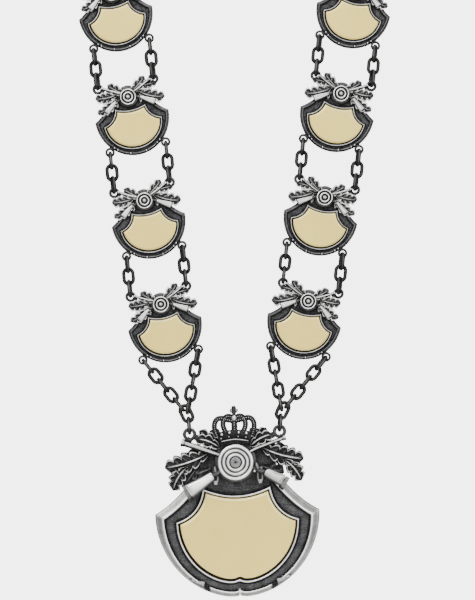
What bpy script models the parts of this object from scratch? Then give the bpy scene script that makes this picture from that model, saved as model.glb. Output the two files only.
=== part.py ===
"""King chain of a shooting club: eight shield plaques, a crowned pendant and the link chain.

The chain hangs as it is worn. Its front lies in one upright plane that faces -Y, and the neck
chain runs back over the shoulders and round the nape, where the origin is. Metres, +Z up.
"""
import math

import bmesh
import bpy
from mathutils import Matrix, Vector

MM = 0.001
GAP = 0.3 * MM                  # clearance between separate pieces

# Chain link, a bent oval of round wire that leaves room for the wires that pass through it.
LINK_WIRE = 2.2 * MM
LINK_END_SLACK = 1.1 * MM       # past the two wires that a link holds and a third it reaches over
LINK_SIDE_SLACK = 1.0 * MM      # each side of a wire that passes through it
LINK_BITE = 0.15 * MM           # how far links that are joined in one strand sink into each other
SHARED_LINK_SLACK = 1.0 * MM    # past the gaps of the three bars in a link where strands meet
OUTER_BAR_SLACK = 0.35 * MM     # of the outer strand's bar in a shared link
SHORT_STRAND_LINKS = 3          # between two plaques
LONG_STRAND_LINKS = 5           # from the last plaque to the shared link
DROP_LEAN = 4                   # degrees, outwards going up
SHARED_LINK_TILT = 26           # degrees, the lower shared link leans to the outer strand
STRAND_LEAN = 5.8               # degrees, outwards going up

# Plaque: a shield with a plate in a frame, and an emblem over it. Drops are measured down from
# the middle of its target.
PLAQUES_A_SIDE = 4
PLAQUE_TILT = 11.0              # degrees
PLAQUE_HALF_WIDTH = 23.9 * MM
PLAQUE_CORNER_DROP = 12.6 * MM
PLAQUE_BOTTOM_DROP = 37.6 * MM
PLAQUE_TOP_HALF = 12.0 * MM
PLAQUE_TOP_DROP = 0.5 * MM
PLAQUE_FRAME_HALF_WIDTH = 18.8 * MM
PLAQUE_FRAME_CORNER_DROP = 16.4 * MM
PLAQUE_FRAME_BOTTOM_DROP = 33.8 * MM
PLAQUE_FRAME_TOP_HALF = 9.8 * MM
PLAQUE_FRAME_TOP_DROP = 6.4 * MM
PLAQUE_FRAME_TOP_SAG = 2.1 * MM
PLAQUE_TARGET_RADIUS = 5.2 * MM
PLAQUE_EYE_SPREAD = 18.1 * MM   # from the middle line to an eye
UPPER_EYE_RISE = 8.5 * MM
LOWER_EYE_DROP = 32.8 * MM
UPPER_EYE_RING = 2.4 * MM       # radius to the middle of the ring's wire
UPPER_EYE_WIRE = 0.8 * MM
LOWER_EYE_RING = 2.1 * MM
LOWER_EYE_WIRE = 0.55 * MM

# Pendant, measured in the same way.
PENDANT_TILT = 2.0              # degrees, its right eye hangs higher
PENDANT_HALF_WIDTH = 52.7 * MM
PENDANT_CORNER_DROP = 32.4 * MM
PENDANT_BOTTOM_DROP = 86.2 * MM
PENDANT_TOP_HALF = 24.0 * MM
PENDANT_TOP_DROP = 4.0 * MM
PENDANT_FRAME_HALF_WIDTH = 39.0 * MM
PENDANT_FRAME_CORNER_DROP = 38.0 * MM
PENDANT_FRAME_BOTTOM_DROP = 77.0 * MM
PENDANT_FRAME_TOP_HALF = 21.4 * MM
PENDANT_FRAME_TOP_DROP = 17.0 * MM
PENDANT_FRAME_TOP_SAG = 5.0 * MM
PENDANT_TARGET_RADIUS = 11.6 * MM
PENDANT_EYE_SPREAD = 28.8 * MM
PENDANT_EYE_RISE = 18.5 * MM
PENDANT_EYE_RING = 3.3 * MM
PENDANT_EYE_WIRE = 1.2 * MM

# Depths, all measured forwards from the back of a shield. The ones named back are where a
# relief starts inside the casting.
PLAQUE_DEPTHS = {"edge": 1.9 * MM, "rim": 2.7 * MM, "field": 1.6 * MM, "frame": 2.6 * MM,
                 "pocket": 1.0 * MM, "plate": 0.9 * MM, "leaf_back": 0.5 * MM, "leaf": 3.4 * MM,
                 "rifle_back": 0.6 * MM, "rifle": 4.2 * MM, "target_back": 0.8 * MM,
                 "target": 5.2 * MM, "eye": 1.8 * MM, "lug_back": 0.7 * MM, "lug": 2.2 * MM}
PENDANT_DEPTHS = {"edge": 2.4 * MM, "rim": 3.4 * MM, "field": 1.8 * MM, "frame": 3.4 * MM,
                  "pocket": 1.3 * MM, "plate": 1.1 * MM, "leaf": 6.2 * MM, "rifle": 9.4 * MM,
                  "target": 11.4 * MM, "eye": 3.4 * MM, "lug": 5.2 * MM}
PLAQUE_RIM_WIDTH = 2.2 * MM
PLAQUE_FRAME_WIDTH = 1.3 * MM
SHIELD_SCOOP = (0.45, 0.30)     # how far out and up from its inner lower corner a shoulder bends
FRAME_SCOOP = (0.14, 0.20)
PENDANT_RIM_WIDTH = 4.2 * MM
PENDANT_FRAME_WIDTH = 2.0 * MM
FRAME_BEVEL = 0.4 * MM          # from the frame's crest down to the edge of its pocket
PLAQUE_PLATE_BEVEL = 0.5 * MM
PENDANT_PLATE_BEVEL = 0.7 * MM

# What joins the eyes and the crown to the castings: widths at the two ends of a bar.
PLAQUE_LUG = (3.4 * MM, 2.4 * MM)
PLAQUE_LUG_REACH = 5.5 * MM     # inwards from the eye's middle
PENDANT_LUG = (7.0 * MM, 4.0 * MM)
PENDANT_CREST = (16.0 * MM, 15.0 * MM)

# Rifles: widths of the barrel and of the butt.
PLAQUE_RIFLE = (1.9 * MM, 4.2 * MM)
PENDANT_RIFLE = (3.0 * MM, 10.5 * MM)

# Crown over the pendant's target.
CROWN_BAND_RISE = 14.3 * MM
CROWN_BAND_HEIGHT = 3.0 * MM
CROWN_HALF_BAND = 8.4 * MM
CROWN_HALF_WIDTH = 13.8 * MM
CROWN_ARCH_RISE = 29.4 * MM
CROWN_TOP_RISE = 36.2 * MM
CROWN_WIRE = 1.1 * MM
CROWN_FRONT = 8.0 * MM          # forwards from the shield's back
CROWN_BAND_PROUD = 1.6 * MM     # of the arches
CROWN_ARCH_DIP = 1.9 * MM       # of the arches where they meet in the middle
CROWN_ORB_RADIUS = 2.2 * MM
CROWN_FINIAL = (0.8 * MM, 2.2 * MM, 2.6 * MM)   # half foot, half width, drop from its tip
CROWN_FINIAL_HALF_DEPTH = 0.9 * MM
CROWN_ARCHES = ((1.0, -0.35 * MM), (0.48, 0.3 * MM))    # reach and how far forward, each side

# Where the neck chain goes behind the photographed part: a few points chosen by hand, from the
# shoulder to the nape, in metres from the middle of the pendant's eyes (across, back, up).
NECK_ROUTE = [(0.0905, 0.006, 0.3565), (0.0880, 0.030, 0.371), (0.0785, 0.058, 0.3815),
              (0.0620, 0.082, 0.3888), (0.0360, 0.0995, 0.3935), (0.0, 0.1055, 0.395)]
NECK_STRANDS = 6

# Leaves and rifles of the emblems: base and tip of each, in shares of the eye spread, across and
# up from the target's middle, and the leaf's half width as a share of its length.
PLAQUE_LEAVES = [
    {"base": (-0.15, 0.10), "tip": (-0.59, 0.52), "width": 0.30},
    {"base": (0.15, 0.12), "tip": (0.66, 0.58), "width": 0.28},
    {"base": (-0.42, 0.10), "tip": (-1.12, 0.13), "width": 0.30},
    {"base": (-0.55, 0.02), "tip": (-1.18, -0.38), "width": 0.26},
    {"base": (0.45, 0.14), "tip": (1.28, -0.22), "width": 0.30},
]
PLAQUE_RIFLES = [
    {"muzzle": (-0.86, 0.46), "wrist": (0.47, -0.12), "butt": (0.90, -0.34)},
    {"muzzle": (0.88, 0.48), "wrist": (-0.50, -0.12), "butt": (-0.84, -0.42)},
]
PENDANT_LEAVES = [
    {"base": (-0.30, 0.25), "tip": (-0.84, 0.55), "width": 0.28},
    {"base": (0.30, 0.25), "tip": (0.78, 0.60), "width": 0.28},
    {"base": (-0.45, 0.22), "tip": (-1.56, -0.10), "width": 0.26},
    {"base": (-0.50, -0.10), "tip": (-1.36, -0.56), "width": 0.26},
    {"base": (0.45, 0.25), "tip": (1.52, 0.05), "width": 0.26},
    {"base": (0.50, -0.10), "tip": (1.43, -0.46), "width": 0.26},
]
PENDANT_RIFLES = [
    {"muzzle": (-1.16, 0.39), "wrist": (0.71, -0.20), "butt": (1.10, -0.46)},
    {"muzzle": (1.11, 0.48), "wrist": (-0.56, -0.26), "butt": (-1.10, -0.64)},
]

WELD = 0.0002 * MM              # closes the caps of a curve's mesh
FLAT_ANGLE = 0.3                # degrees, facets nearer to one plane than this become one
LAP = 0.12 * MM                 # from one leaf's face to the next one's, as they overlap

# Colours, linear.
SILVER = (0.34, 0.34, 0.34, 1)
DARK_SILVER = (0.10, 0.10, 0.10, 1)
GOLD = (0.70, 0.62, 0.35, 1)

# Worked out from the values above.
LINK_LENGTH = 5 * LINK_WIRE + LINK_END_SLACK
LINK_WIDTH = 3 * LINK_WIRE + 2 * LINK_SIDE_SLACK
BAR = LINK_LENGTH / 2 - LINK_WIRE / 2              # from a link's middle to its end bar
SHARED_LINK_LENGTH = 5 * LINK_WIRE + 4 * GAP + SHARED_LINK_SLACK   # three bars and its own two ends
SHARED_BAR = SHARED_LINK_LENGTH / 2 - LINK_WIRE / 2
TIGHT_PITCH = LINK_LENGTH - 2 * LINK_WIRE + LINK_BITE
LOOSE_PITCH = LINK_LENGTH - 2 * LINK_WIRE - GAP
SHORT_STRAND = (SHORT_STRAND_LINKS - 1) * TIGHT_PITCH + 2 * BAR
LONG_STRAND = (LONG_STRAND_LINKS - 1) * TIGHT_PITCH + 2 * BAR
HOOK = LINK_WIRE + GAP                             # between the bars of two hooked links
PLAQUE_SEAT = UPPER_EYE_RING - UPPER_EYE_WIRE - LINK_WIRE / 2 - GAP
LOWER_SEAT = LOWER_EYE_RING - LOWER_EYE_WIRE - LINK_WIRE / 2 - GAP
PENDANT_SEAT = PENDANT_EYE_RING - PENDANT_EYE_WIRE - LINK_WIRE / 2 - GAP
SIDE_SLACK = LINK_WIDTH / 2 - 1.5 * LINK_WIRE - GAP  # a bar's way off a link's middle line
FIRST_BAR = SHARED_BAR - HOOK - OUTER_BAR_SLACK    # of the outer strand, from a shared link's middle
SECOND_BAR = FIRST_BAR - 1.03 * HOOK               # of the inner strand
NAPE = Vector(NECK_ROUTE[-1])


def make_material(name, colour, metallic, roughness):
    """A plain Principled material."""
    material = bpy.data.materials.new(name)
    material.use_nodes = True
    shader = material.node_tree.nodes["Principled BSDF"]
    shader.inputs["Base Color"].default_value = colour
    shader.inputs["Metallic"].default_value = metallic
    shader.inputs["Roughness"].default_value = roughness
    material.diffuse_color = colour
    return material


def tilted(across, up, degrees):
    """A point across and up, turned by an angle: plus leans the top to the left."""
    angle = math.radians(degrees)
    return Vector((across * math.cos(angle) - up * math.sin(angle), 0,
                   across * math.sin(angle) + up * math.cos(angle)))


def meet(centre_a, centre_b, radius):
    """The upper point at one distance from two points of the front plane."""
    middle = (centre_a + centre_b) / 2
    half = (centre_b - centre_a) / 2
    rise = math.sqrt(radius ** 2 - half.length_squared)
    normal = Vector((-half.z, 0, half.x)).normalized()
    if normal.z < 0:
        normal.negate()
    return middle + normal * rise


def new_object(name, mesh, collection):
    """An object for a mesh, in a collection."""
    piece = bpy.data.objects.new(name, mesh)
    collection.objects.link(piece)
    return piece


def take_mesh(piece):
    """The evaluated mesh of an object, which is then removed."""
    graph = bpy.context.evaluated_depsgraph_get()
    mesh = bpy.data.meshes.new_from_object(piece.evaluated_get(graph))
    mesh.transform(piece.matrix_world)
    bpy.data.objects.remove(piece)
    form = bmesh.new()
    form.from_mesh(mesh)
    bmesh.ops.remove_doubles(form, verts=form.verts, dist=WELD)
    bmesh.ops.recalc_face_normals(form, faces=form.faces)
    form.to_mesh(mesh)
    form.free()
    return mesh


def torus_mesh(ring, wire, segments=8, centres=None):
    """A ring of four-sided wire in the front plane; centres, if given, bends it into a link."""
    bpy.ops.mesh.primitive_torus_add(major_radius=ring, minor_radius=wire,
                                     major_segments=segments, minor_segments=4)
    piece = bpy.context.object
    spread = 1 / math.cos(math.pi / segments)
    turn = math.pi / segments
    for vertex in piece.data.vertices:
        angle = math.atan2(vertex.co.y, vertex.co.x)
        step = round(angle / (2 * turn)) % segments
        offset = (vertex.co.xy.length - ring) * spread
        angle = 2 * turn * step + turn
        across = math.cos(angle)
        up = math.sin(angle)
        middle = centres[step] if centres else (ring * spread * across, ring * spread * up)
        vertex.co = (middle[0] + offset * across, -vertex.co.z, middle[1] + offset * up)
    return take_mesh(piece)


def link_mesh(bar):
    """One link, upright in the front plane, as an eight-sided oval with its end bars at bar."""
    side = (LINK_WIDTH - LINK_WIRE) / 2
    crown = 0.42 * side
    corner = bar - (side - crown)
    quarter = [(side, corner), (crown, bar)]
    centres = quarter + [(-x, z) for x, z in reversed(quarter)]
    centres += [(-x, -z) for x, z in quarter] + [(x, -z) for x, z in reversed(quarter)]
    return torus_mesh(side, LINK_WIRE / 2, 8, centres)


def join_union(name, meshes, collection):
    """One closed mesh from overlapping ones. The exact solver leaves open edges where this many
    facets nearly meet, and every mesh here is closed, so the manifold solver joins them."""
    base = new_object(name, meshes[0], collection)
    tools = []
    for mesh in meshes[1:]:
        tool = new_object(name + "_tool", mesh, collection)
        tools.append(tool)
        union = base.modifiers.new("join", "BOOLEAN")
        union.operation = "UNION"
        union.solver = "MANIFOLD"
        union.object = tool
    bpy.context.view_layer.update()
    mesh = take_mesh(base)
    for tool in tools:
        bpy.data.objects.remove(tool)
    form = bmesh.new()
    form.from_mesh(mesh)
    bmesh.ops.dissolve_limit(form, angle_limit=math.radians(FLAT_ANGLE), verts=form.verts,
                             edges=form.edges)
    bmesh.ops.triangulate(form, faces=form.faces)
    form.to_mesh(mesh)
    form.free()
    mesh.name = name
    return mesh


def link_matrix(centre, along, facing):
    """Places a link: its length along a direction, its flat side towards facing."""
    up = along.normalized()
    normal = (facing - up * facing.dot(up)).normalized()
    side = up.cross(normal)
    turn = Matrix((side, -normal, up)).transposed()
    return Matrix.Translation(centre) @ turn.to_4x4()


def strand_matrices(start, end, count, first_faces):
    """Places for links along a straight strand between the middles of its two end bars."""
    way = end - start
    along = way.normalized()
    pitch = (way.length - 2 * BAR) / (count - 1)
    front = Vector((0, -1, 0))
    edge = along.cross(front)
    places = []
    for index in range(count):
        faces = (index % 2 == 0) == first_faces
        centre = start + along * (BAR + pitch * index)
        places.append(link_matrix(centre, along, front if faces else edge))
    return places


def add_strand(name, places, link, collection, material):
    """One solid of the links at the given places."""
    copies = []
    for place in places:
        copy = link.copy()
        copy.transform(place)
        copies.append(copy)
    mesh = join_union(name, copies, collection) if len(copies) > 1 else copies[0]
    mesh.materials.clear()
    mesh.materials.append(material)
    return new_object(name, mesh, collection)


def shield_outline(half_width, corner_drop, bottom_drop, top_half, top_drop, top_sag, scoop,
                   scoop_steps, side_steps):
    """Closed outline of a shield with scooped shoulders and a round foot, from its top middle."""
    half = []
    top = Vector((top_half, -top_drop))
    corner = Vector((half_width, -corner_drop))
    bend = Vector((top_half + scoop[0] * (half_width - top_half),
                   -corner_drop + scoop[1] * (corner_drop - top_drop)))
    for step in range(scoop_steps):
        share = step / scoop_steps
        half.append(top * (1 - share) ** 2 + bend * (2 * share * (1 - share))
                    + corner * share ** 2)
    for step in range(side_steps):
        angle = math.pi / 2 * step / side_steps
        half.append(Vector((half_width * math.cos(angle),
                            -corner_drop - (bottom_drop - corner_drop) * math.sin(angle))))
    points = [Vector((0, -top_drop - top_sag))] + half + [Vector((0, -bottom_drop))]
    points += [Vector((-point.x, point.y)) for point in reversed(half)]
    return points


def inset(points, distance):
    """The outline moved inwards by a distance, outwards if it is negative."""
    moved = []
    count = len(points)
    for index, point in enumerate(points):
        before = (point - points[index - 1]).normalized()
        after = (points[(index + 1) % count] - point).normalized()
        normal = Vector((before.y + after.y, -before.x - after.x)).normalized()
        square = max(normal.dot(Vector((before.y, -before.x))), 0.5)
        moved.append(point + normal * distance / square)
    return moved


def loft_mesh(name, rings):
    """A closed solid through outlines of one point count, each at a depth, with flat ends."""
    form = bmesh.new()
    loops = []
    for points, depth in rings:
        loops.append([form.verts.new((point.x, -depth, point.y)) for point in points])
    for lower, upper in zip(loops, loops[1:]):
        for index in range(len(lower)):
            after = (index + 1) % len(lower)
            form.faces.new((lower[index], lower[after], upper[after], upper[index]))
    form.faces.new(loops[0])
    form.faces.new(loops[-1])
    bmesh.ops.triangulate(form, faces=form.faces)
    bmesh.ops.recalc_face_normals(form, faces=form.faces)
    mesh = bpy.data.meshes.new(name)
    form.to_mesh(mesh)
    form.free()
    return mesh


def slab_mesh(name, points, back, front):
    """A flat outline with thickness, from a filled curve."""
    curve = bpy.data.curves.new(name, "CURVE")
    curve.dimensions = "2D"
    curve.fill_mode = "BOTH"
    curve.extrude = (front - back) / 2
    spline = curve.splines.new("POLY")
    spline.points.add(len(points) - 1)
    for corner, point in zip(spline.points, points):
        corner.co = (point[0], point[1], 0, 1)
    spline.use_cyclic_u = True
    piece = new_object(name, curve, bpy.context.scene.collection)
    piece.matrix_world = Matrix.Translation((0, -(front + back) / 2, 0)) @ Matrix.Rotation(
        math.pi / 2, 4, "X")
    bpy.context.view_layer.update()
    return take_mesh(piece)


def disc_mesh(name, radius, back, front, sides, centre=(0, 0)):
    """A round disc that faces forwards."""
    bpy.ops.mesh.primitive_cylinder_add(vertices=sides, radius=radius, depth=front - back,
                                        location=(centre[0], -(front + back) / 2, centre[1]),
                                        rotation=(math.pi / 2, 0, 0))
    piece = bpy.context.object
    piece.name = name
    bpy.context.view_layer.update()
    return take_mesh(piece)


def leaf_points(base, tip, width):
    """Outline of an oak leaf seen flat, plain: narrow at its base and broad beyond its middle."""
    base = Vector(base)
    tip = Vector(tip)
    along = tip - base
    side = Vector((-along.y, along.x)) * width
    shares = [(0.0, 0.22), (0.42, 0.95), (0.84, 0.80)]
    left = [base + along * at + side * wide for at, wide in shares]
    right = [base + along * at - side * wide for at, wide in reversed(shares)]
    return left + [tip] + right


def beam_mesh(name, start, end, start_size, end_size, back, front):
    """A bar in the front plane that widens from one end to the other."""
    start = Vector(start)
    end = Vector(end)
    along = (end - start).normalized()
    side = Vector((-along.y, along.x))
    points = [start + side * start_size / 2, start - side * start_size / 2,
              end - side * end_size / 2, end + side * end_size / 2]
    return slab_mesh(name, points, back, front)


def torus_at(ring, wire, centre, depth, segments=6):
    """An eye of round wire at a place of the front plane."""
    mesh = torus_mesh(ring, wire, segments)
    mesh.transform(Matrix.Translation((centre[0], -depth, centre[1])))
    return mesh


def shield_rings(outline, frame, depths, rim_width, frame_width):
    """Outlines and depths of a shield: back, edge, rim, field, frame and plate pocket."""
    return [
        (outline, 0),
        (outline, depths["edge"]),
        (inset(outline, rim_width * 0.4), depths["rim"]),
        (inset(outline, rim_width), depths["field"]),
        (inset(frame, -frame_width * 0.25), depths["field"]),
        (inset(frame, frame_width * 0.2), depths["frame"]),
        (inset(frame, frame_width), depths["frame"] - FRAME_BEVEL),
        (inset(frame, frame_width), depths["pocket"]),
    ]


def scaled(pair, spread):
    """A table's shares as a place in the front plane."""
    return (pair[0] * spread, pair[1] * spread)


def rifle_meshes(name, row, spread, back, front, barrel, butt):
    """Barrel with its stock, and butt, of one rifle as overlapping bars."""
    muzzle = Vector(scaled(row["muzzle"], spread))
    wrist = Vector(scaled(row["wrist"], spread))
    end = Vector(scaled(row["butt"], spread))
    inner = wrist - (end - wrist).normalized() * barrel
    return [
        beam_mesh(name + "_barrel", muzzle, wrist, barrel, barrel * 1.5, back, front),
        beam_mesh(name + "_butt", inner, end, barrel * 1.2, butt,
                  back + (front - back) * 0.06, front - (front - back) * 0.06),
    ]


def plaque_meshes(collection):
    """The left column's plaque casting and its plate, around the target's middle."""
    outline = shield_outline(PLAQUE_HALF_WIDTH, PLAQUE_CORNER_DROP, PLAQUE_BOTTOM_DROP,
                             PLAQUE_TOP_HALF, PLAQUE_TOP_DROP, 0.0, SHIELD_SCOOP, 2, 4)
    frame = shield_outline(PLAQUE_FRAME_HALF_WIDTH, PLAQUE_FRAME_CORNER_DROP,
                           PLAQUE_FRAME_BOTTOM_DROP, PLAQUE_FRAME_TOP_HALF,
                           PLAQUE_FRAME_TOP_DROP, PLAQUE_FRAME_TOP_SAG, FRAME_SCOOP, 2, 4)
    depths = PLAQUE_DEPTHS
    spread = PLAQUE_EYE_SPREAD
    parts = [loft_mesh("plaque_shield", shield_rings(outline, frame, depths, PLAQUE_RIM_WIDTH,
                                                     PLAQUE_FRAME_WIDTH))]
    for index, row in enumerate(PLAQUE_LEAVES):
        points = leaf_points(scaled(row["base"], spread), scaled(row["tip"], spread),
                             row["width"])
        parts.append(slab_mesh("plaque_leaf", points, depths["leaf_back"] + index * LAP,
                               depths["leaf"] - index * LAP))
    for row in PLAQUE_RIFLES:
        parts += rifle_meshes("plaque_rifle", row, spread, depths["rifle_back"],
                              depths["rifle"], *PLAQUE_RIFLE)
    parts.append(disc_mesh("plaque_target", PLAQUE_TARGET_RADIUS, depths["target_back"],
                           depths["target"], 14))
    for side in (-1, 1):
        parts.append(torus_at(UPPER_EYE_RING, UPPER_EYE_WIRE, (side * spread, UPPER_EYE_RISE),
                              depths["eye"]))
        parts.append(torus_at(LOWER_EYE_RING, LOWER_EYE_WIRE, (side * spread, -LOWER_EYE_DROP),
                              depths["eye"]))
        foot = Vector((side * spread, -LOWER_EYE_DROP))
        inner = foot * (1 - PLAQUE_LUG_REACH / foot.length)
        lug = foot * (1 - (LOWER_EYE_RING - LOWER_EYE_WIRE * 0.3) / foot.length)
        parts.append(beam_mesh("plaque_lug", inner, lug, *PLAQUE_LUG, depths["lug_back"],
                               depths["lug"]))
    casting = join_union("plaque", parts, collection)
    pocket = inset(frame, PLAQUE_FRAME_WIDTH + GAP)
    plate = loft_mesh("plaque_plate", [
        (pocket, depths["pocket"] + GAP),
        (pocket, depths["pocket"] + GAP + depths["plate"] * 0.6),
        (inset(pocket, PLAQUE_PLATE_BEVEL), depths["pocket"] + GAP + depths["plate"])])
    return casting, plate


def mirrored(mesh):
    """A copy of a mesh, left and right exchanged."""
    copy = mesh.copy()
    form = bmesh.new()
    form.from_mesh(copy)
    for vertex in form.verts:
        vertex.co.x = -vertex.co.x
    bmesh.ops.reverse_faces(form, faces=form.faces)
    form.to_mesh(copy)
    form.free()
    return copy


def pendant_meshes(collection):
    """The pendant's pieces by name, around its target's middle and its shield's back."""
    outline = shield_outline(PENDANT_HALF_WIDTH, PENDANT_CORNER_DROP, PENDANT_BOTTOM_DROP,
                             PENDANT_TOP_HALF, PENDANT_TOP_DROP, 0.0, SHIELD_SCOOP, 4, 6)
    frame = shield_outline(PENDANT_FRAME_HALF_WIDTH, PENDANT_FRAME_CORNER_DROP,
                           PENDANT_FRAME_BOTTOM_DROP, PENDANT_FRAME_TOP_HALF,
                           PENDANT_FRAME_TOP_DROP, PENDANT_FRAME_TOP_SAG, FRAME_SCOOP, 4, 6)
    depths = PENDANT_DEPTHS
    spread = PENDANT_EYE_SPREAD
    pieces = {"shield": loft_mesh("pendant_shield", shield_rings(
        outline, frame, depths, PENDANT_RIM_WIDTH, PENDANT_FRAME_WIDTH))}
    pocket = inset(frame, PENDANT_FRAME_WIDTH + GAP)
    pieces["plate"] = loft_mesh("pendant_plate", [
        (pocket, depths["pocket"] + GAP),
        (pocket, depths["pocket"] + GAP + depths["plate"] * 0.6),
        (inset(pocket, PENDANT_PLATE_BEVEL), depths["pocket"] + GAP + depths["plate"])])
    leaf_back = depths["rim"] + GAP
    leaves = [disc_mesh("pendant_boss", PENDANT_TARGET_RADIUS * 1.06, leaf_back,
                        depths["leaf"], 20)]
    for index, row in enumerate(PENDANT_LEAVES):
        points = leaf_points(scaled(row["base"], spread), scaled(row["tip"], spread),
                             row["width"])
        leaves.append(slab_mesh("pendant_leaf", points, leaf_back + (index + 1) * LAP,
                                depths["leaf"] - (index + 1) * LAP))
    leaves.append(beam_mesh("pendant_crest", (0, PENDANT_TARGET_RADIUS * 0.8),
                            (0, CROWN_BAND_RISE + CROWN_BAND_HEIGHT * 0.8), *PENDANT_CREST,
                            leaf_back + LAP * 0.8, depths["leaf"] - LAP * 0.4))
    for side in (-1, 1):
        eye = Vector((side * spread, PENDANT_EYE_RISE))
        leaves.append(torus_at(PENDANT_EYE_RING, PENDANT_EYE_WIRE, eye, depths["eye"], 10))
        inner = Vector((side * spread * 0.66, PENDANT_EYE_RISE * 0.28))
        lug = eye + (inner - eye).normalized() * (PENDANT_EYE_RING - 0.2 * MM)
        leaves.append(beam_mesh("pendant_lug", inner, lug, *PENDANT_LUG,
                                leaf_back + LAP * 0.4, depths["lug"]))
    pieces["leaves"] = join_union("pendant_leaves", leaves, collection)
    bars = []
    for index, row in enumerate(PENDANT_RIFLES):
        bars += rifle_meshes("pendant_rifle", row, spread, depths["leaf"] + GAP,
                             depths["rifle"] - index * LAP, *PENDANT_RIFLE)
    pieces["rifles"] = join_union("pendant_rifles", bars, collection)
    pieces["target"] = disc_mesh("pendant_target", PENDANT_TARGET_RADIUS,
                                 depths["rifle"] + GAP, depths["target"], 28)
    pieces["crown"] = crown_mesh(collection)
    return pieces


def crown_mesh(collection):
    """The crown: a band, five arches, an orb and a finial, in one casting."""
    band = [(-CROWN_HALF_BAND, CROWN_BAND_RISE), (CROWN_HALF_BAND, CROWN_BAND_RISE),
            (CROWN_HALF_BAND * 1.12, CROWN_BAND_RISE + CROWN_BAND_HEIGHT),
            (-CROWN_HALF_BAND * 1.12, CROWN_BAND_RISE + CROWN_BAND_HEIGHT)]
    back = PENDANT_DEPTHS["leaf"] + GAP
    parts = [slab_mesh("crown_band", band, back, CROWN_FRONT + CROWN_BAND_PROUD)]
    foot = CROWN_BAND_RISE + CROWN_BAND_HEIGHT * 0.7
    top = CROWN_ARCH_RISE - CROWN_WIRE
    shoulder = top - CROWN_WIRE * 0.36
    middle = (back + CROWN_FRONT) / 2 + CROWN_WIRE * 0.55
    for side in (-1, 1):
        for reach, forward in CROWN_ARCHES:
            wide = side * (CROWN_HALF_WIDTH - CROWN_WIRE) * reach
            root = side * CROWN_HALF_BAND * 0.98 * reach
            way = [(root, foot), (wide * 0.95, foot + (top - foot) * 0.35),
                   (wide, foot + (top - foot) * 0.68), (wide * 0.78, shoulder),
                   (wide * 0.42, shoulder), (side * CROWN_WIRE * 0.45,
                                             top - CROWN_ARCH_DIP * reach)]
            parts.append(wire_mesh("crown_arch", way, middle + forward + side * LAP * 0.7))
    parts.append(wire_mesh("crown_arch", [(0, foot), (0, top)], middle + LAP * 1.25))
    parts.append(ball_mesh("crown_orb", CROWN_ORB_RADIUS, (0, CROWN_ARCH_RISE - CROWN_WIRE * 1.1),
                           middle))
    half_foot, half_width, drop = CROWN_FINIAL
    finial = [(-half_foot, CROWN_ARCH_RISE), (half_foot, CROWN_ARCH_RISE),
              (half_width, CROWN_TOP_RISE - drop), (0, CROWN_TOP_RISE),
              (-half_width, CROWN_TOP_RISE - drop)]
    parts.append(slab_mesh("crown_finial", finial, middle - CROWN_FINIAL_HALF_DEPTH,
                           middle + CROWN_FINIAL_HALF_DEPTH))
    return join_union("pendant_crown", parts, collection)


def wire_mesh(name, way, depth):
    """A closed tube through points of the front plane."""
    curve = bpy.data.curves.new(name, "CURVE")
    curve.dimensions = "3D"
    curve.bevel_depth = CROWN_WIRE
    curve.bevel_resolution = 1
    curve.use_fill_caps = True
    spline = curve.splines.new("POLY")
    spline.points.add(len(way) - 1)
    for corner, point in zip(spline.points, way):
        corner.co = (point[0], -depth, point[1], 1)
    piece = new_object(name, curve, bpy.context.scene.collection)
    bpy.context.view_layer.update()
    return take_mesh(piece)


def ball_mesh(name, radius, centre, depth):
    """A small ball."""
    bpy.ops.mesh.primitive_uv_sphere_add(segments=8, ring_count=5, radius=radius,
                                         location=(centre[0], -depth, centre[1]))
    bpy.context.view_layer.update()
    return take_mesh(bpy.context.object)


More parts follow.
